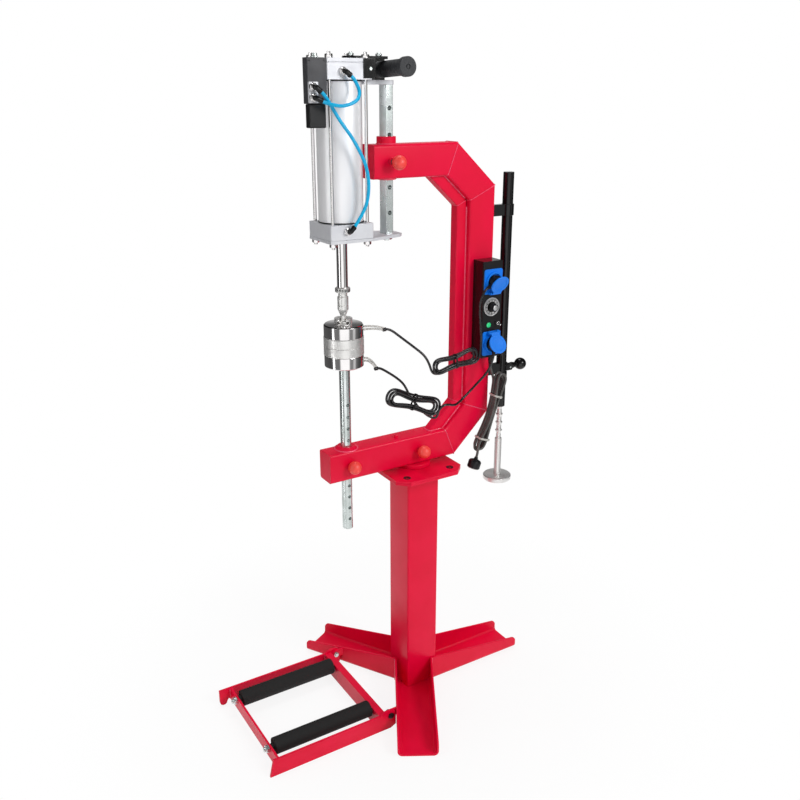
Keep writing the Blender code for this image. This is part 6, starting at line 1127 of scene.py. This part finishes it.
class VULCANIZER_OT_cylinder(bpy.types.Operator):
    """Cylinder caps, barrel, tie rods, brackets and hexagonal post"""

    bl_idname = "vulcanizer.cylinder"
    bl_label = "Cylinder"

    def execute(self, context):
        centre = (RAM_X, 0)

        def cap_outline(inset):
            half = CAP_HALF - inset
            return softened(rectangle((RAM_X - half, -half), (RAM_X + half, half)), 3 * MM, 5)

        bottom = prism("bottom_cap_fine", cap_outline(0), heights("bottom_cap")[0], 1.3770, "Z", 0.9)
        dress(bottom, "machined", "head", "aluminium", "bottom_cap")
        low, high = heights("top_cap")
        rows = []
        for inset, z in ((0, low), (0, high - 10 * MM), (1.2, high - 9.6 * MM), (1.2, high - 8.2 * MM),
                         (0.2, high - 7.8 * MM), (0.2, high)):
            edge = cap_outline(inset * MM)
            rows.append(placed(edge[:, 0], edge[:, 1], z, "Z"))
        top = bevelled(surface("top_cap_fine", [(np.stack(rows), False, True, True)]), 0.7)
        dress(top, "machined", "head", "aluminium", "top_cap")
        low, high = heights("barrel")
        lathe("barrel_fine", sleeve(50, 54, low, high), centre, "Z", 128, 0.2, "anodised", "head", "barrel_tube",
              "barrel", ring=True)
        for name, z in (("lower_seal_ring", low + 1.6 * MM), ("upper_seal_ring", high - 1.6 * MM)):
            lathe(name, at(z, (53.6, -1.5), (55.2, -1.3), (55.2, 1.3), (53.6, 1.5)), centre, "Z", 96, 0.3, "plastic",
                  "head", "rubber", ring=True)
        low = 1.3335
        outline = [(RAM_X - CAP_HALF, -CAP_HALF), (RAM_X + CAP_HALF, -CAP_HALF), (-0.066, -0.034), (-0.054, -0.022),
                   (-0.054, 0.022), (-0.066, 0.034), (RAM_X + CAP_HALF, CAP_HALF), (RAM_X - CAP_HALF, CAP_HALF)]
        bracket = prism("bottom_bracket_fine", outline, low, heights("bottom_bracket")[1], "Z", 0.8)
        dress(bracket, "machined", "head", "aluminium", "bottom_bracket")
        stub = at(low, (0, -11), (7, -11), (7, -8))
        nut = surface("bracket_nut", [nut_grids((HEX_X, 0), "Z", low - 9 * MM, low - 0.1 * MM, 24),
                                      turned_grid(stub, (HEX_X, 0), "Z", 32, 0.3)])
        dress(nut, "zinc", "head", "zinc")
        lathe("rod_gland", at(low, (13.9, 0.5), (20, 0.5), (20, -2.2), (17, -4), (13.9, -4)), centre, "Z", 64, 0.5,
              "steel", "head", "steel", ring=True)
        for name, (sx, sy) in zip(("outer_front", "outer_back", "inner_front", "inner_back"), CORNERS):
            place = (RAM_X + sx * 0.046, sy * 0.046)
            low, high = heights(f"tie_rod_{name}")
            shank = at(low, (0, 0), (3.2, 0), (4, 0.8)) + at(high, (4, -0.8), (3.2, 0), (0, 0))
            rod = surface(f"tie_rod_{name}_fine", [
                turned_grid(shank, place, "Z", 32),
                nut_grids(place, "Z", high - 13 * MM, high - 5 * MM, 16),
                nut_grids(place, "Z", low + 5 * MM, low + 13 * MM, 16),
                turned_grid(sleeve(4.2, 9.2, high - 13.1 * MM, high - 12 * MM), place, "Z", 40, 0.2, ring=True)])
            dress(rod, "chrome", "head", "zinc", f"tie_rod_{name}")
        hexagon = circle((HEX_X, 0), 32 * MM / math.sqrt(3), 0, "Z", 6)[:, :2]
        post = prism("hex_post_fine", softened(hexagon, 1.2 * MM, 3), 1.3414, 1.6868, "Z")
        holes = [turned_grid(at(0, (5.5, -30), (5.5, 30)), (HEX_X, UPPER_ARM_Z + (2 - i) * 0.061), "Y", 32)
                 for i in range(5)]
        dress(drilled(post, *holes), "zinc", "head", "zinc", "hex_post")
        strip = softened(rectangle((RAM_X + CAP_HALF + FIT, -17 * MM), (HEX_X + 15 * MM, 17 * MM)), 9 * MM, 6)
        dress(prism("top_bracket_plate", strip, 1.6870, 1.6970, "Z", 0.7), "machined", "head", "aluminium")
        return {"FINISHED"}


ELBOW_DEPTH = 15.5 * MM


def elbow_grids(centre, way, face):
    """A push-in elbow: a bent arm from the boss's axis to the mouth, with a release collar."""
    corner = np.array((centre[0], face - ELBOW_DEPTH, centre[1]))
    start = np.array((centre[0], face - 4 * MM, centre[1]))
    turn = np.linspace(0, math.pi / 2, 9)[:, None]
    bend = 6 * MM
    inward = np.array((0, bend, 0))
    arc = corner + inward + way * bend - way * bend * np.cos(turn) - inward * np.sin(turn)
    arm = tube_grid(np.concatenate([[start], arc, [corner + way * 13 * MM]]), 5.8 * MM, 32)
    collar_path = corner + way * np.array([12.0, 12.3, 14.2, 14.5, 14.8, 16.6, 16.9])[:, None] * MM
    return arm, tube_grid(collar_path, np.array([5.8, 6.5, 6.5, 5.2, 5.8, 5.8, 5.2]) * MM, 32)


class VULCANIZER_OT_air(bpy.types.Operator):
    """Valve, air fittings and air tubes"""

    bl_idname = "vulcanizer.air"
    bl_label = "Air valve and tubes"

    def execute(self, context):
        right = RAM_X - CAP_HALF - FIT
        left = right - 47 * MM
        front, back = -57.5 * MM, -33.5 * MM
        cap_low, top = heights("top_cap")
        valve_low = top - 96 * MM
        port_face = front - 7 * MM
        port_top = top - 50 * MM
        for name, low, high, bevel, dressing in (
                ("valve_body_fine", (left, front, valve_low), (right, back, top), 1.5,
                 ("valve", "head", "black_plastic", "valve")),
                ("valve_coil_fine", (left + 3 * MM, front + 1.5 * MM, valve_low - 51 * MM),
                 (right - 3 * MM, back - 1.5 * MM, valve_low - 0.2 * MM), 2.5, ("plastic", "head", "black_plastic")),
                ("port_block_fine", (left, port_face, port_top - 44 * MM),
                 (left + 22 * MM, front + 0.5 * MM, port_top), 0.8, ("machined", "head", "aluminium")),
                ("valve_end_strip", (left - 0.4 * MM, front + 3 * MM, valve_low + 6 * MM),
                 (left + 1 * MM, back - 3 * MM, top - 8 * MM), 0.4, ("valve", "head", "aluminium"))):
            dress(block(name, low, high, bevel), *dressing)
        lathe("valve_stem", at(top, (0, 9), (5.5, 9), (6.5, 8), (6.5, 3), (8.5, 3), (8.5, -0.5)),
              ((left + right) / 2, (front + back) / 2), "Z", 40, 0.4, "zinc", "head", "zinc")
        inset = rectangle((left + 5 * MM, top - 6 * MM), (right - 5 * MM, valve_low + 6 * MM))[[0, 1, 3, 2]]
        for i, place in enumerate(inset):
            lathe(f"valve_screw_{i + 1}", at(front, (0, -0.5), (2.2, -0.4), (2.6, 0.3)), place, "Y", 24, 0, "plastic",
                  "head", "zinc")
        mouths = {}
        for name, centre, degrees, face in (
                ("top", (RAM_X - 19.2 * MM, cap_low + 18 * MM), -38, -CAP_HALF),
                ("bottom", (RAM_X - 14.2 * MM, heights("bottom_cap")[0] + 20.5 * MM), 48, -CAP_HALF),
                ("valve_upper", (left + 8 * MM, top - 60 * MM), -40, port_face),
                ("valve_lower", (left + 8 * MM, top - 83 * MM), -24, port_face)):
            angle = math.radians(degrees)
            way = np.array((math.cos(angle), 0, math.sin(angle)))
            stem = at(face, (0, -10.4), (6.2, -10.4), (7.2, -9.6), (7.2, -7.6), (6.2, -6.8), (6.2, -5.6))
            boss = surface(f"{name}_boss", [nut_grids(centre, "Y", face - 6 * MM, face + 0.3 * MM, 16.5),
                                            turned_grid(stem, centre, "Y", 40)])
            dress(boss, "chrome", "head", "zinc")
            for label, grid in zip(("elbow", "elbow_collar"), elbow_grids(centre, way, face)):
                dress(surface(f"{name}_{label}", [grid]), "plastic", "head", "black_plastic")
            mouths[name] = np.array((centre[0], face - ELBOW_DEPTH, centre[1])) + way * 17.3 * MM, way
        for name, start, points, end in (("air_tube_long", "valve_upper", LONG_TUBE, "bottom"),
                                         ("air_tube_short", "valve_lower", SHORT_TUBE, "top")):
            (first, way_out), (last, way_in) = mouths[start], mouths[end]
            route = [first - way_out * 1 * MM, first + way_out * 8 * MM, *points, last + way_in * 8 * MM,
                     last - way_in * 1 * MM]
            path = eased(smooth_route(route, 4 * MM), 2)
            dress(surface(f"{name}_fine", [tube_grid(path, 4 * MM, 24)]), "hose", "head", "blue_tube", name)
        return {"FINISHED"}


class VULCANIZER_OT_grip(bpy.types.Operator):
    """Grip with its bracket and bolts"""

    bl_idname = "vulcanizer.grip"
    bl_label = "Grip"

    def execute(self, context):
        parts = [block("bar", (-0.190, -0.014, 1.7423), (-0.087, 0.014, 1.7488)),
                 block("body", (-0.1537, -0.032, 1.6973), (-0.131, 0.0367, 1.744)),
                 block("foot", (-0.1537, 0.0362, 1.6973), (-0.066, 0.0547, 1.744)),
                 block("cheek", (-0.1537, -0.0583, 1.7000), (-0.147, -0.0315, 1.742)),
                 block("flange", (-0.177, -0.0608, 1.7000), (-0.147, -0.0578, 1.742))]
        dress(bevelled(joined("grip_bracket_fine", parts), 0.8), "enamel", "head", "black_paint", "grip_bracket")
        for i, x in enumerate((-0.178, -0.104)):
            shank = at(1.7574, (0, 0), (3.4, 0), (4, -0.6), (4, -3.4))
            bolt = surface(f"bar_bolt_{i + 1}", [nut_grids((x, 0), "Z", 1.7487, 1.7545, 13),
                                                 turned_grid(shank, (x, 0), "Z", 32)])
            dress(bolt, "zinc", "head", "zinc")
        profile = at(0, (0, -133.5), (3.5, -133.5), (3.5, -130.5), (5.5, -130.5), (5.5, -133.5), (21, -133.5),
                     (22, -132.5), (22, -118.5), (19, -116.5))
        for i in range(9):
            profile += at(-0.112 + i * 0.012, (18.6, -1.2), (18.3, -0.6), (18.3, 0.6), (18.6, 1.2))
        profile += at(0, (18.6, -1.2), (17.6, -0.4), (0, -0.4))
        grid, *flags = turned_grid(profile, (0, 0), "Y", 96)
        grid = tilted(grid, math.radians(-2.2), 1, 2) + (-0.084, 0.035, 1.7200)
        dress(surface("grip_fine", [(grid, *flags)]), "grip", "head", "rubber", "grip")
        lathe("block_screw", at(-0.0632, (0, 0), (2, 0), (2.2, -0.8), (3.4, -0.8), (4, -0.2), (4, 3.2)),
              (-0.161, 1.720), "Y", 40, 0.3, "zinc", "head", "zinc")
        return {"FINISHED"}


class VULCANIZER_OT_ratchet(bpy.types.Operator):
    """Ratchet post with its rod, lever and ball"""

    bl_idname = "vulcanizer.ratchet"
    bl_label = "Ratchet post"

    def execute(self, context):
        centre = (RATCHET_X, 0)
        low, high = heights("ratchet_tube")
        tube = at(high, (0, 0), (13.6, 0), (14.5, -1)) + at(low, (14.5, 0), (10.5, 0), (10.5, 20), (0, 20))
        lathe("ratchet_tube_fine", tube, centre, "Z", 64, 0.3, "enamel", "c_frame", "black_paint", "ratchet_tube")
        pads = []
        for z, ring_low, ring_high in ((LEVER_Z, -27 * MM, -12 * MM), (UPPER_CLAMP_Z, -15 * MM, 15 * MM)):
            pads.append(block("pad", (0.2283, -15 * MM, z - 25 * MM), (0.2343, 15 * MM, z + 25 * MM)))
            pads.append(block("neck", (0.2335, -8 * MM, z - 15 * MM), (0.2815, 8 * MM, z + 15 * MM)))
            pads.append(turned("clamp", sleeve(14.2, 17.2, z + ring_low, z + ring_high), centre, "Z", 48, ring=True))
        ear = softened(rectangle((0.301, LEVER_Z - 9 * MM), (0.324, LEVER_Z + 9 * MM)), 3 * MM, 4)
        for ends in ((9.3 * MM, 13.3 * MM), (-13.3 * MM, -9.3 * MM)):
            pads.append(prism("ear", ear, *ends, "Y"))
        dress(bevelled(joined("ratchet_brackets", pads), 0.8), "enamel", "c_frame", "black_paint")
        rod = (at(heights("ratchet_rod")[0], (0, 0), (39, 0), (41, 2), (41, 12.5), (39, 14.5), (10, 14.5))
               + at(0.712, (10, 0), (9, 1), (7, 1)))
        for i in range(12):
            rod += at(0.736 + i * 0.025, (7, -7), (9.6, 0), (10, 0.8), (10, 2.6), (9.6, 3), (7, 3))
        rod += at(1.036, (7, 0), (0, 0))
        lathe("ratchet_rod_fine", rod, centre, "Z", 64, 0.3, "steel", "ratchet_rod", "steel", "ratchet_rod")
        ball = dome(PIN_BALL, PIN_BALL, RATCHET_X + 69 * MM, math.asin(7 / PIN_BALL), math.pi)
        lathe("lever_ball", ball, (0, LEVER_Z), "X", 48, 0, "enamel", "pawl_lever", "red_ball", "pawl_lever")
        arm = at(0.3112, (0, 0), (8, 0), (9, 1), (9, 15), (9.6, 15.8), (9.6, 21.8), (8.4, 23.8), (7.4, 38.8),
                 (0, 38.8))
        lathe("lever_arm", arm, (0, LEVER_Z), "X", 48, 0.3, "enamel", "pawl_lever", "black_paint")
        pin = at(0, (0, -14.8), (2.6, -14.8), (3, -14.4), (3, 14.4), (2.6, 14.8), (0, 14.8))
        lathe("lever_pin", pin, (0.3165, LEVER_Z), "Y", 28, 0, "zinc", "pawl_lever", "zinc")
        return {"FINISHED"}


class VULCANIZER_OT_control_box(bpy.types.Operator):
    """Box, panel, timer, lamp, switch, sockets, flaps and plugs"""

    bl_idname = "vulcanizer.control_box"
    bl_label = "Control box"

    def execute(self, context):
        low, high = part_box("control_box")
        box = block("control_box_fine", (low.x, -0.0750, PANEL_LOW), (high.x, FRAME_FACE_Y, high.z), 1.2)
        dress(box, "enamel", "c_frame", "black_paint", "control_box")
        lathe("mains_gland", at(0.988, (0, 0), (4.6, 0), (5.9, 3.5), (6, 7.5)), MAINS_EXIT[:2], "Z", 32, 0.3,
              "plastic", "c_frame", "black_plastic")
        panel = block("control_panel_fine", (low.x, PANEL_Y, PANEL_LOW), (high.x, -0.0752, high.z), 0.5)
        dress(panel, "plastic", "c_frame", "black_paint", "control_panel")
        self.screws("panel_screw", PANEL_Y, (0.8, 1.8, 0.6, 2.2, 0.2), (low.x + 4 * MM, PANEL_LOW + 4.5 * MM),
                    (high.x - 4 * MM, high.z - 4 * MM), "plastic")
        self.timer()
        self.lamp()
        self.switch()
        for name, (z, angle, up) in SOCKETS.items():
            self.socket(name, z, up)
            self.plug(name, z)
        self.mains_plug()
        return {"FINISHED"}

    def screws(self, name, face, sizes, low, high, finish_key):
        """Four screws: the height and the radius of the dome, then those of its edge and its depth."""
        crown, inner, shoulder, outer, sunk = sizes
        for i, place in enumerate(rectangle(low, high)[[0, 1, 3, 2]]):
            lathe(f"{name}_{i + 1}", at(face, (0, -crown), (inner, -shoulder), (outer, sunk)), place, "Y", 24, 0,
                  finish_key, "c_frame", "zinc")

    def timer(self):
        centre = np.array((0.1905, 1.134))
        face = PANEL_Y - FIT
        bezel = at(face, (0, -2.4), (22.6, -2.4), (23, -3.2), (24.4, -3.2), (25, -2.4), (25, 0.2))
        lathe("timer_bezel", bezel, centre, "Y", 96, 0.3, "silver", "c_frame", "silver", "timer")
        marks = []
        for i in range(36):
            turn = i * math.tau / 36
            inner, half = (15.4, 0.95) if i % 3 == 0 else (18.6, 0.6)
            way = np.array((math.sin(turn), math.cos(turn)))
            side = np.array((way[1], -way[0]))
            outline = np.array([way * reach + side * sign * half
                                for reach, sign in ((inner, -1), (inner, 1), (22, 1), (22, -1))]) * MM
            marks.append(prism_grid(outline + centre, face - 2.7 * MM, face - 2.3 * MM, "Y"))
        dress(surface("timer_marks", marks), "plastic", "c_frame", "black_plastic")
        lathe("timer_skirt", at(face, (0, -2.3), (14.6, -2.3), (14.2, -3), (0, -3)), centre, "Y", 64, 0.2, "enamel",
              "c_frame", "black_plastic")
        back = face - 3.3 * MM
        flute = 11 * MM - 0.55 * MM * (1 - np.cos(np.arange(144) * math.tau / 144 * 18))
        knob = np.stack([circle(centre, flute * share, back - depth * MM, "Y", 144)
                         for depth, share in ((0, 1.02), (3, 1.0), (13.5, 0.94), (15.2, 0.9), (16, 0.8), (16, 0.0))])
        dress(surface("dial_knob_fine", [(knob, False, True, True)]), "plastic", "dial_knob", "black_plastic",
              "dial_knob")
        pointer = block("dial_pointer", (centre[0] - 0.7 * MM, back - 16.9 * MM, centre[1] + 1.5 * MM),
                        (centre[0] + 0.7 * MM, back - 16.2 * MM, centre[1] + 6.6 * MM), 0.1)
        dress(pointer, "plastic", "dial_knob", "silver")
        lathe("dial_cap", at(back, (0, -16.4), (6.4, -16.4), (7.2, -15.9), (7.2, -15)), centre, "Y", 48, 0, "silver",
              "dial_knob", "silver")

    def lamp(self):
        centre = (0.183, 1.085)
        face = PANEL_Y - 0.2 * MM
        lathe("lamp_rim", at(face, (7, 0.1), (8.1, 0.1), (8.1, -1.1), (7.5, -1.4), (7, -1.1)), centre, "Y", 48, 0.2,
              "plastic", "c_frame", "chrome", ring=True)
        lathe("lamp_lens", dome(7.3, 3, face - 0.6 * MM, 0, math.pi / 2, 12), centre, "Y", 48, 0, "lens", "c_frame",
              "green_lens", "indicator_lamp")

    def switch(self):
        centre = (0.211, 1.088)
        nut = surface("switch_nut", [nut_grids(centre, "Y", PANEL_Y - 2.6 * MM, PANEL_Y + 0.1 * MM, 13, 0.5)])
        dress(nut, "enamel", "c_frame", "chrome")
        lathe("switch_bush", sleeve(3.2, 5, PANEL_Y - 2 * MM, PANEL_Y - 6.8 * MM), centre, "Y", 40, 0.3, "chrome",
              "c_frame", "chrome", ring=True)
        profile = at(0, (0, 0), (1.4, 0), (1.5, -7), (2.8, -14.4), (2.5, -16.2), (1.6, -17), (0, -17.1))
        grid, *flags = turned_grid(profile, (0, 0), "Y", 32, 0.3)
        grid = tilted(grid, math.radians(8), 1, 2) + (centre[0], PANEL_Y - FIT, centre[1])
        dress(surface("switch_lever", [(grid, *flags)]), "chrome", "toggle_lever", "silver", "toggle_lever")

    def socket(self, name, z, up):
        """A socket's flange, ring, screws and ears, and its sprung flap, turned open by 30 degrees."""
        back = PANEL_Y - FIT
        face = back - 4 * MM
        outline = softened(rectangle((SOCKET_X - 29 * MM, z - 33 * MM), (SOCKET_X + 29 * MM, z + 33 * MM)), 6 * MM, 5)
        dress(prism(f"socket_{name}_flange", outline, face, back, "Y", 1), "blue", "c_frame", "blue_plastic",
              f"socket_{name}")
        lathe(f"socket_{name}_ring", at(face, (21, 1), (25.6, 1), (25, -6), (21, -6)), (SOCKET_X, z), "Y", 80, 0.9,
              "blue", "c_frame", "blue_plastic", ring=True)
        self.screws(f"socket_{name}_screw", face, (0.6, 1.9, 0.4, 2.2, 0.4), (SOCKET_X - 24 * MM, z - 27.5 * MM),
                    (SOCKET_X + 24 * MM, z + 27.5 * MM), "blue")
        hinge = np.array((face - 9 * MM, z + up * 30 * MM))
        ear = np.concatenate([arc_points(hinge, 3 * MM, math.pi / 2, math.pi * 3 / 2, 9),
                              [(face + 1 * MM, hinge[1] - 3 * MM), (face + 1 * MM, hinge[1] + 3 * MM)]])
        ears = [prism_grid(ear, SOCKET_X + low * MM, SOCKET_X + high * MM, "X")
                for low, high in ((12.3, 16.3), (-16.3, -12.3))]
        dress(surface(f"socket_{name}_ears", ears), "blue", "c_frame", "blue_plastic")
        centre_z = hinge[1] - up * 32 * MM
        inner = hinge[0] - 0.8 * MM
        outer = inner - 4 * MM
        lid = (at(inner, (0, 0), (24, 0), (26, -0.6))
               + at(outer, (26, 1), (25, 0), (19, 0), (18, 0.8), (0, 0.8)))
        tab_low, tab_high = sorted((hinge[1], centre_z + up * 16 * MM))
        tab = softened(rectangle((SOCKET_X - 12 * MM, tab_low), (SOCKET_X + 12 * MM, tab_high)), 1.5 * MM, 3)
        grids = []
        for grid, *flags in (turned_grid(lid, (SOCKET_X, centre_z), "Y", 80, 0.4),
                             prism_grid(tab, outer + 0.4 * MM, inner - 0.3 * MM, "Y")):
            grids.append((tilted(grid, -up * math.radians(30), 1, 2, hinge), *flags))
        barrel = at(SOCKET_X, (0, -12), (3, -12), (3, 12), (0, 12))
        grids.append(turned_grid(barrel, hinge, "X", 32, 0.3))
        dress(surface(f"flap_{name}_fine", grids), "blue", f"flap_{name}", "blue_plastic", f"flap_{name}")

    def plug(self, name, z):
        """A round plug with three grooves and a ribbed nozzle that narrows to the cord."""
        back = PANEL_Y - 2 * FIT - 4 * MM
        profile = at(back, (0, 0), (17.5, 0), (17.5, -5))
        for i in range(3):
            profile += at(back - (6.5 + 3 * i) * MM, (17.5, 0.8), (16.8, 0), (17.5, -0.8))
        profile += at(back - 17 * MM, (17.5, 3), (14.5, 0), (6, 0), (5, 0.8), (0, 0.8))
        root = np.array((SOCKET_X, NOZZLE_Y, z))
        share = np.linspace(0.3, 1 - FIT / NOZZLE_REACH, 24)
        path = root + (np.array(nozzle_mouth(name)) - root) * share[:, None]
        ribs = 5.6 * MM - 1.2 * MM * share + 0.35 * MM * np.sin(np.arange(24) * math.pi * 0.66)
        plug = surface(f"plug_{name}_fine", [turned_grid(profile, (SOCKET_X, z), "Y", 64, 0.3),
                                             tube_grid(path, ribs, 32)])
        dress(plug, "plastic", "c_frame", "black_plastic", f"plug_{name}")

    def mains_plug(self):
        shell = at(0, (0, -0.3), (4.6, -0.3), (5.6, -3), (5.2, -5), (7, -6.3), (15, -9.5), (18, -13.5), (18, -30.9),
                   (17, -31.9), (0, -31.9))
        face = at(0, (0, -31.5), (15.6, -31.5), (15.6, -33.4), (14.8, -34.1), (0, -34.1))
        for name, profile, edge, dressing in (
                ("mains_plug_shell", shell, 0.6, ("plastic", "c_frame", "black_plastic", "mains_plug")),
                ("mains_plug_face", face, 0.3, ("plug_face", "c_frame", "black_plastic"))):
            grid, *flags = turned_grid(profile, (0, 0), "Z", 64, edge)
            grid = tilted(grid, -MAINS_PLUG_TURN, 0, 2) + MAINS_PLUG_TOP
            dress(surface(name, [(grid, *flags)]), *dressing)


class VULCANIZER_PT_panel(bpy.types.Panel):
    """Lists the pieces of the vulcanizer"""

    bl_idname = "VULCANIZER_PT_panel"
    bl_label = "Vulcanizer"
    bl_space_type = "VIEW_3D"
    bl_region_type = "UI"
    bl_category = "Vulcanizer"

    def draw(self, context):
        layout = self.layout
        for holder in (context.scene.vulcanizer_finishes, context.scene.vulcanizer_sizes):
            for name in holder.bl_rna.properties.keys():
                if name not in ("rna_type", "name"):
                    layout.prop(holder, name)
        for operator in OPERATORS:
            layout.operator(operator.bl_idname)


OPERATORS = (VULCANIZER_OT_stage, VULCANIZER_OT_control_box, VULCANIZER_OT_cords, VULCANIZER_OT_base,
             VULCANIZER_OT_roller_frame, VULCANIZER_OT_c_frame, VULCANIZER_OT_lock_pins, VULCANIZER_OT_lower_post,
             VULCANIZER_OT_ram, VULCANIZER_OT_cylinder, VULCANIZER_OT_air, VULCANIZER_OT_grip,
             VULCANIZER_OT_ratchet)
CLASSES = (VulcanizerFinishes, VulcanizerSizes, *OPERATORS, VULCANIZER_PT_panel)


def register():
    for item in CLASSES:
        bpy.utils.register_class(item)
    bpy.types.Scene.vulcanizer_finishes = PointerProperty(type=VulcanizerFinishes)
    bpy.types.Scene.vulcanizer_sizes = PointerProperty(type=VulcanizerSizes)


def unregister():
    del bpy.types.Scene.vulcanizer_sizes
    del bpy.types.Scene.vulcanizer_finishes
    for item in reversed(CLASSES):
        bpy.utils.unregister_class(item)


def main():
    register()
    for operator in OPERATORS:
        group_name, name = operator.bl_idname.split(".")
        getattr(getattr(bpy.ops, group_name), name)()


if __name__ == "__main__":
    main()
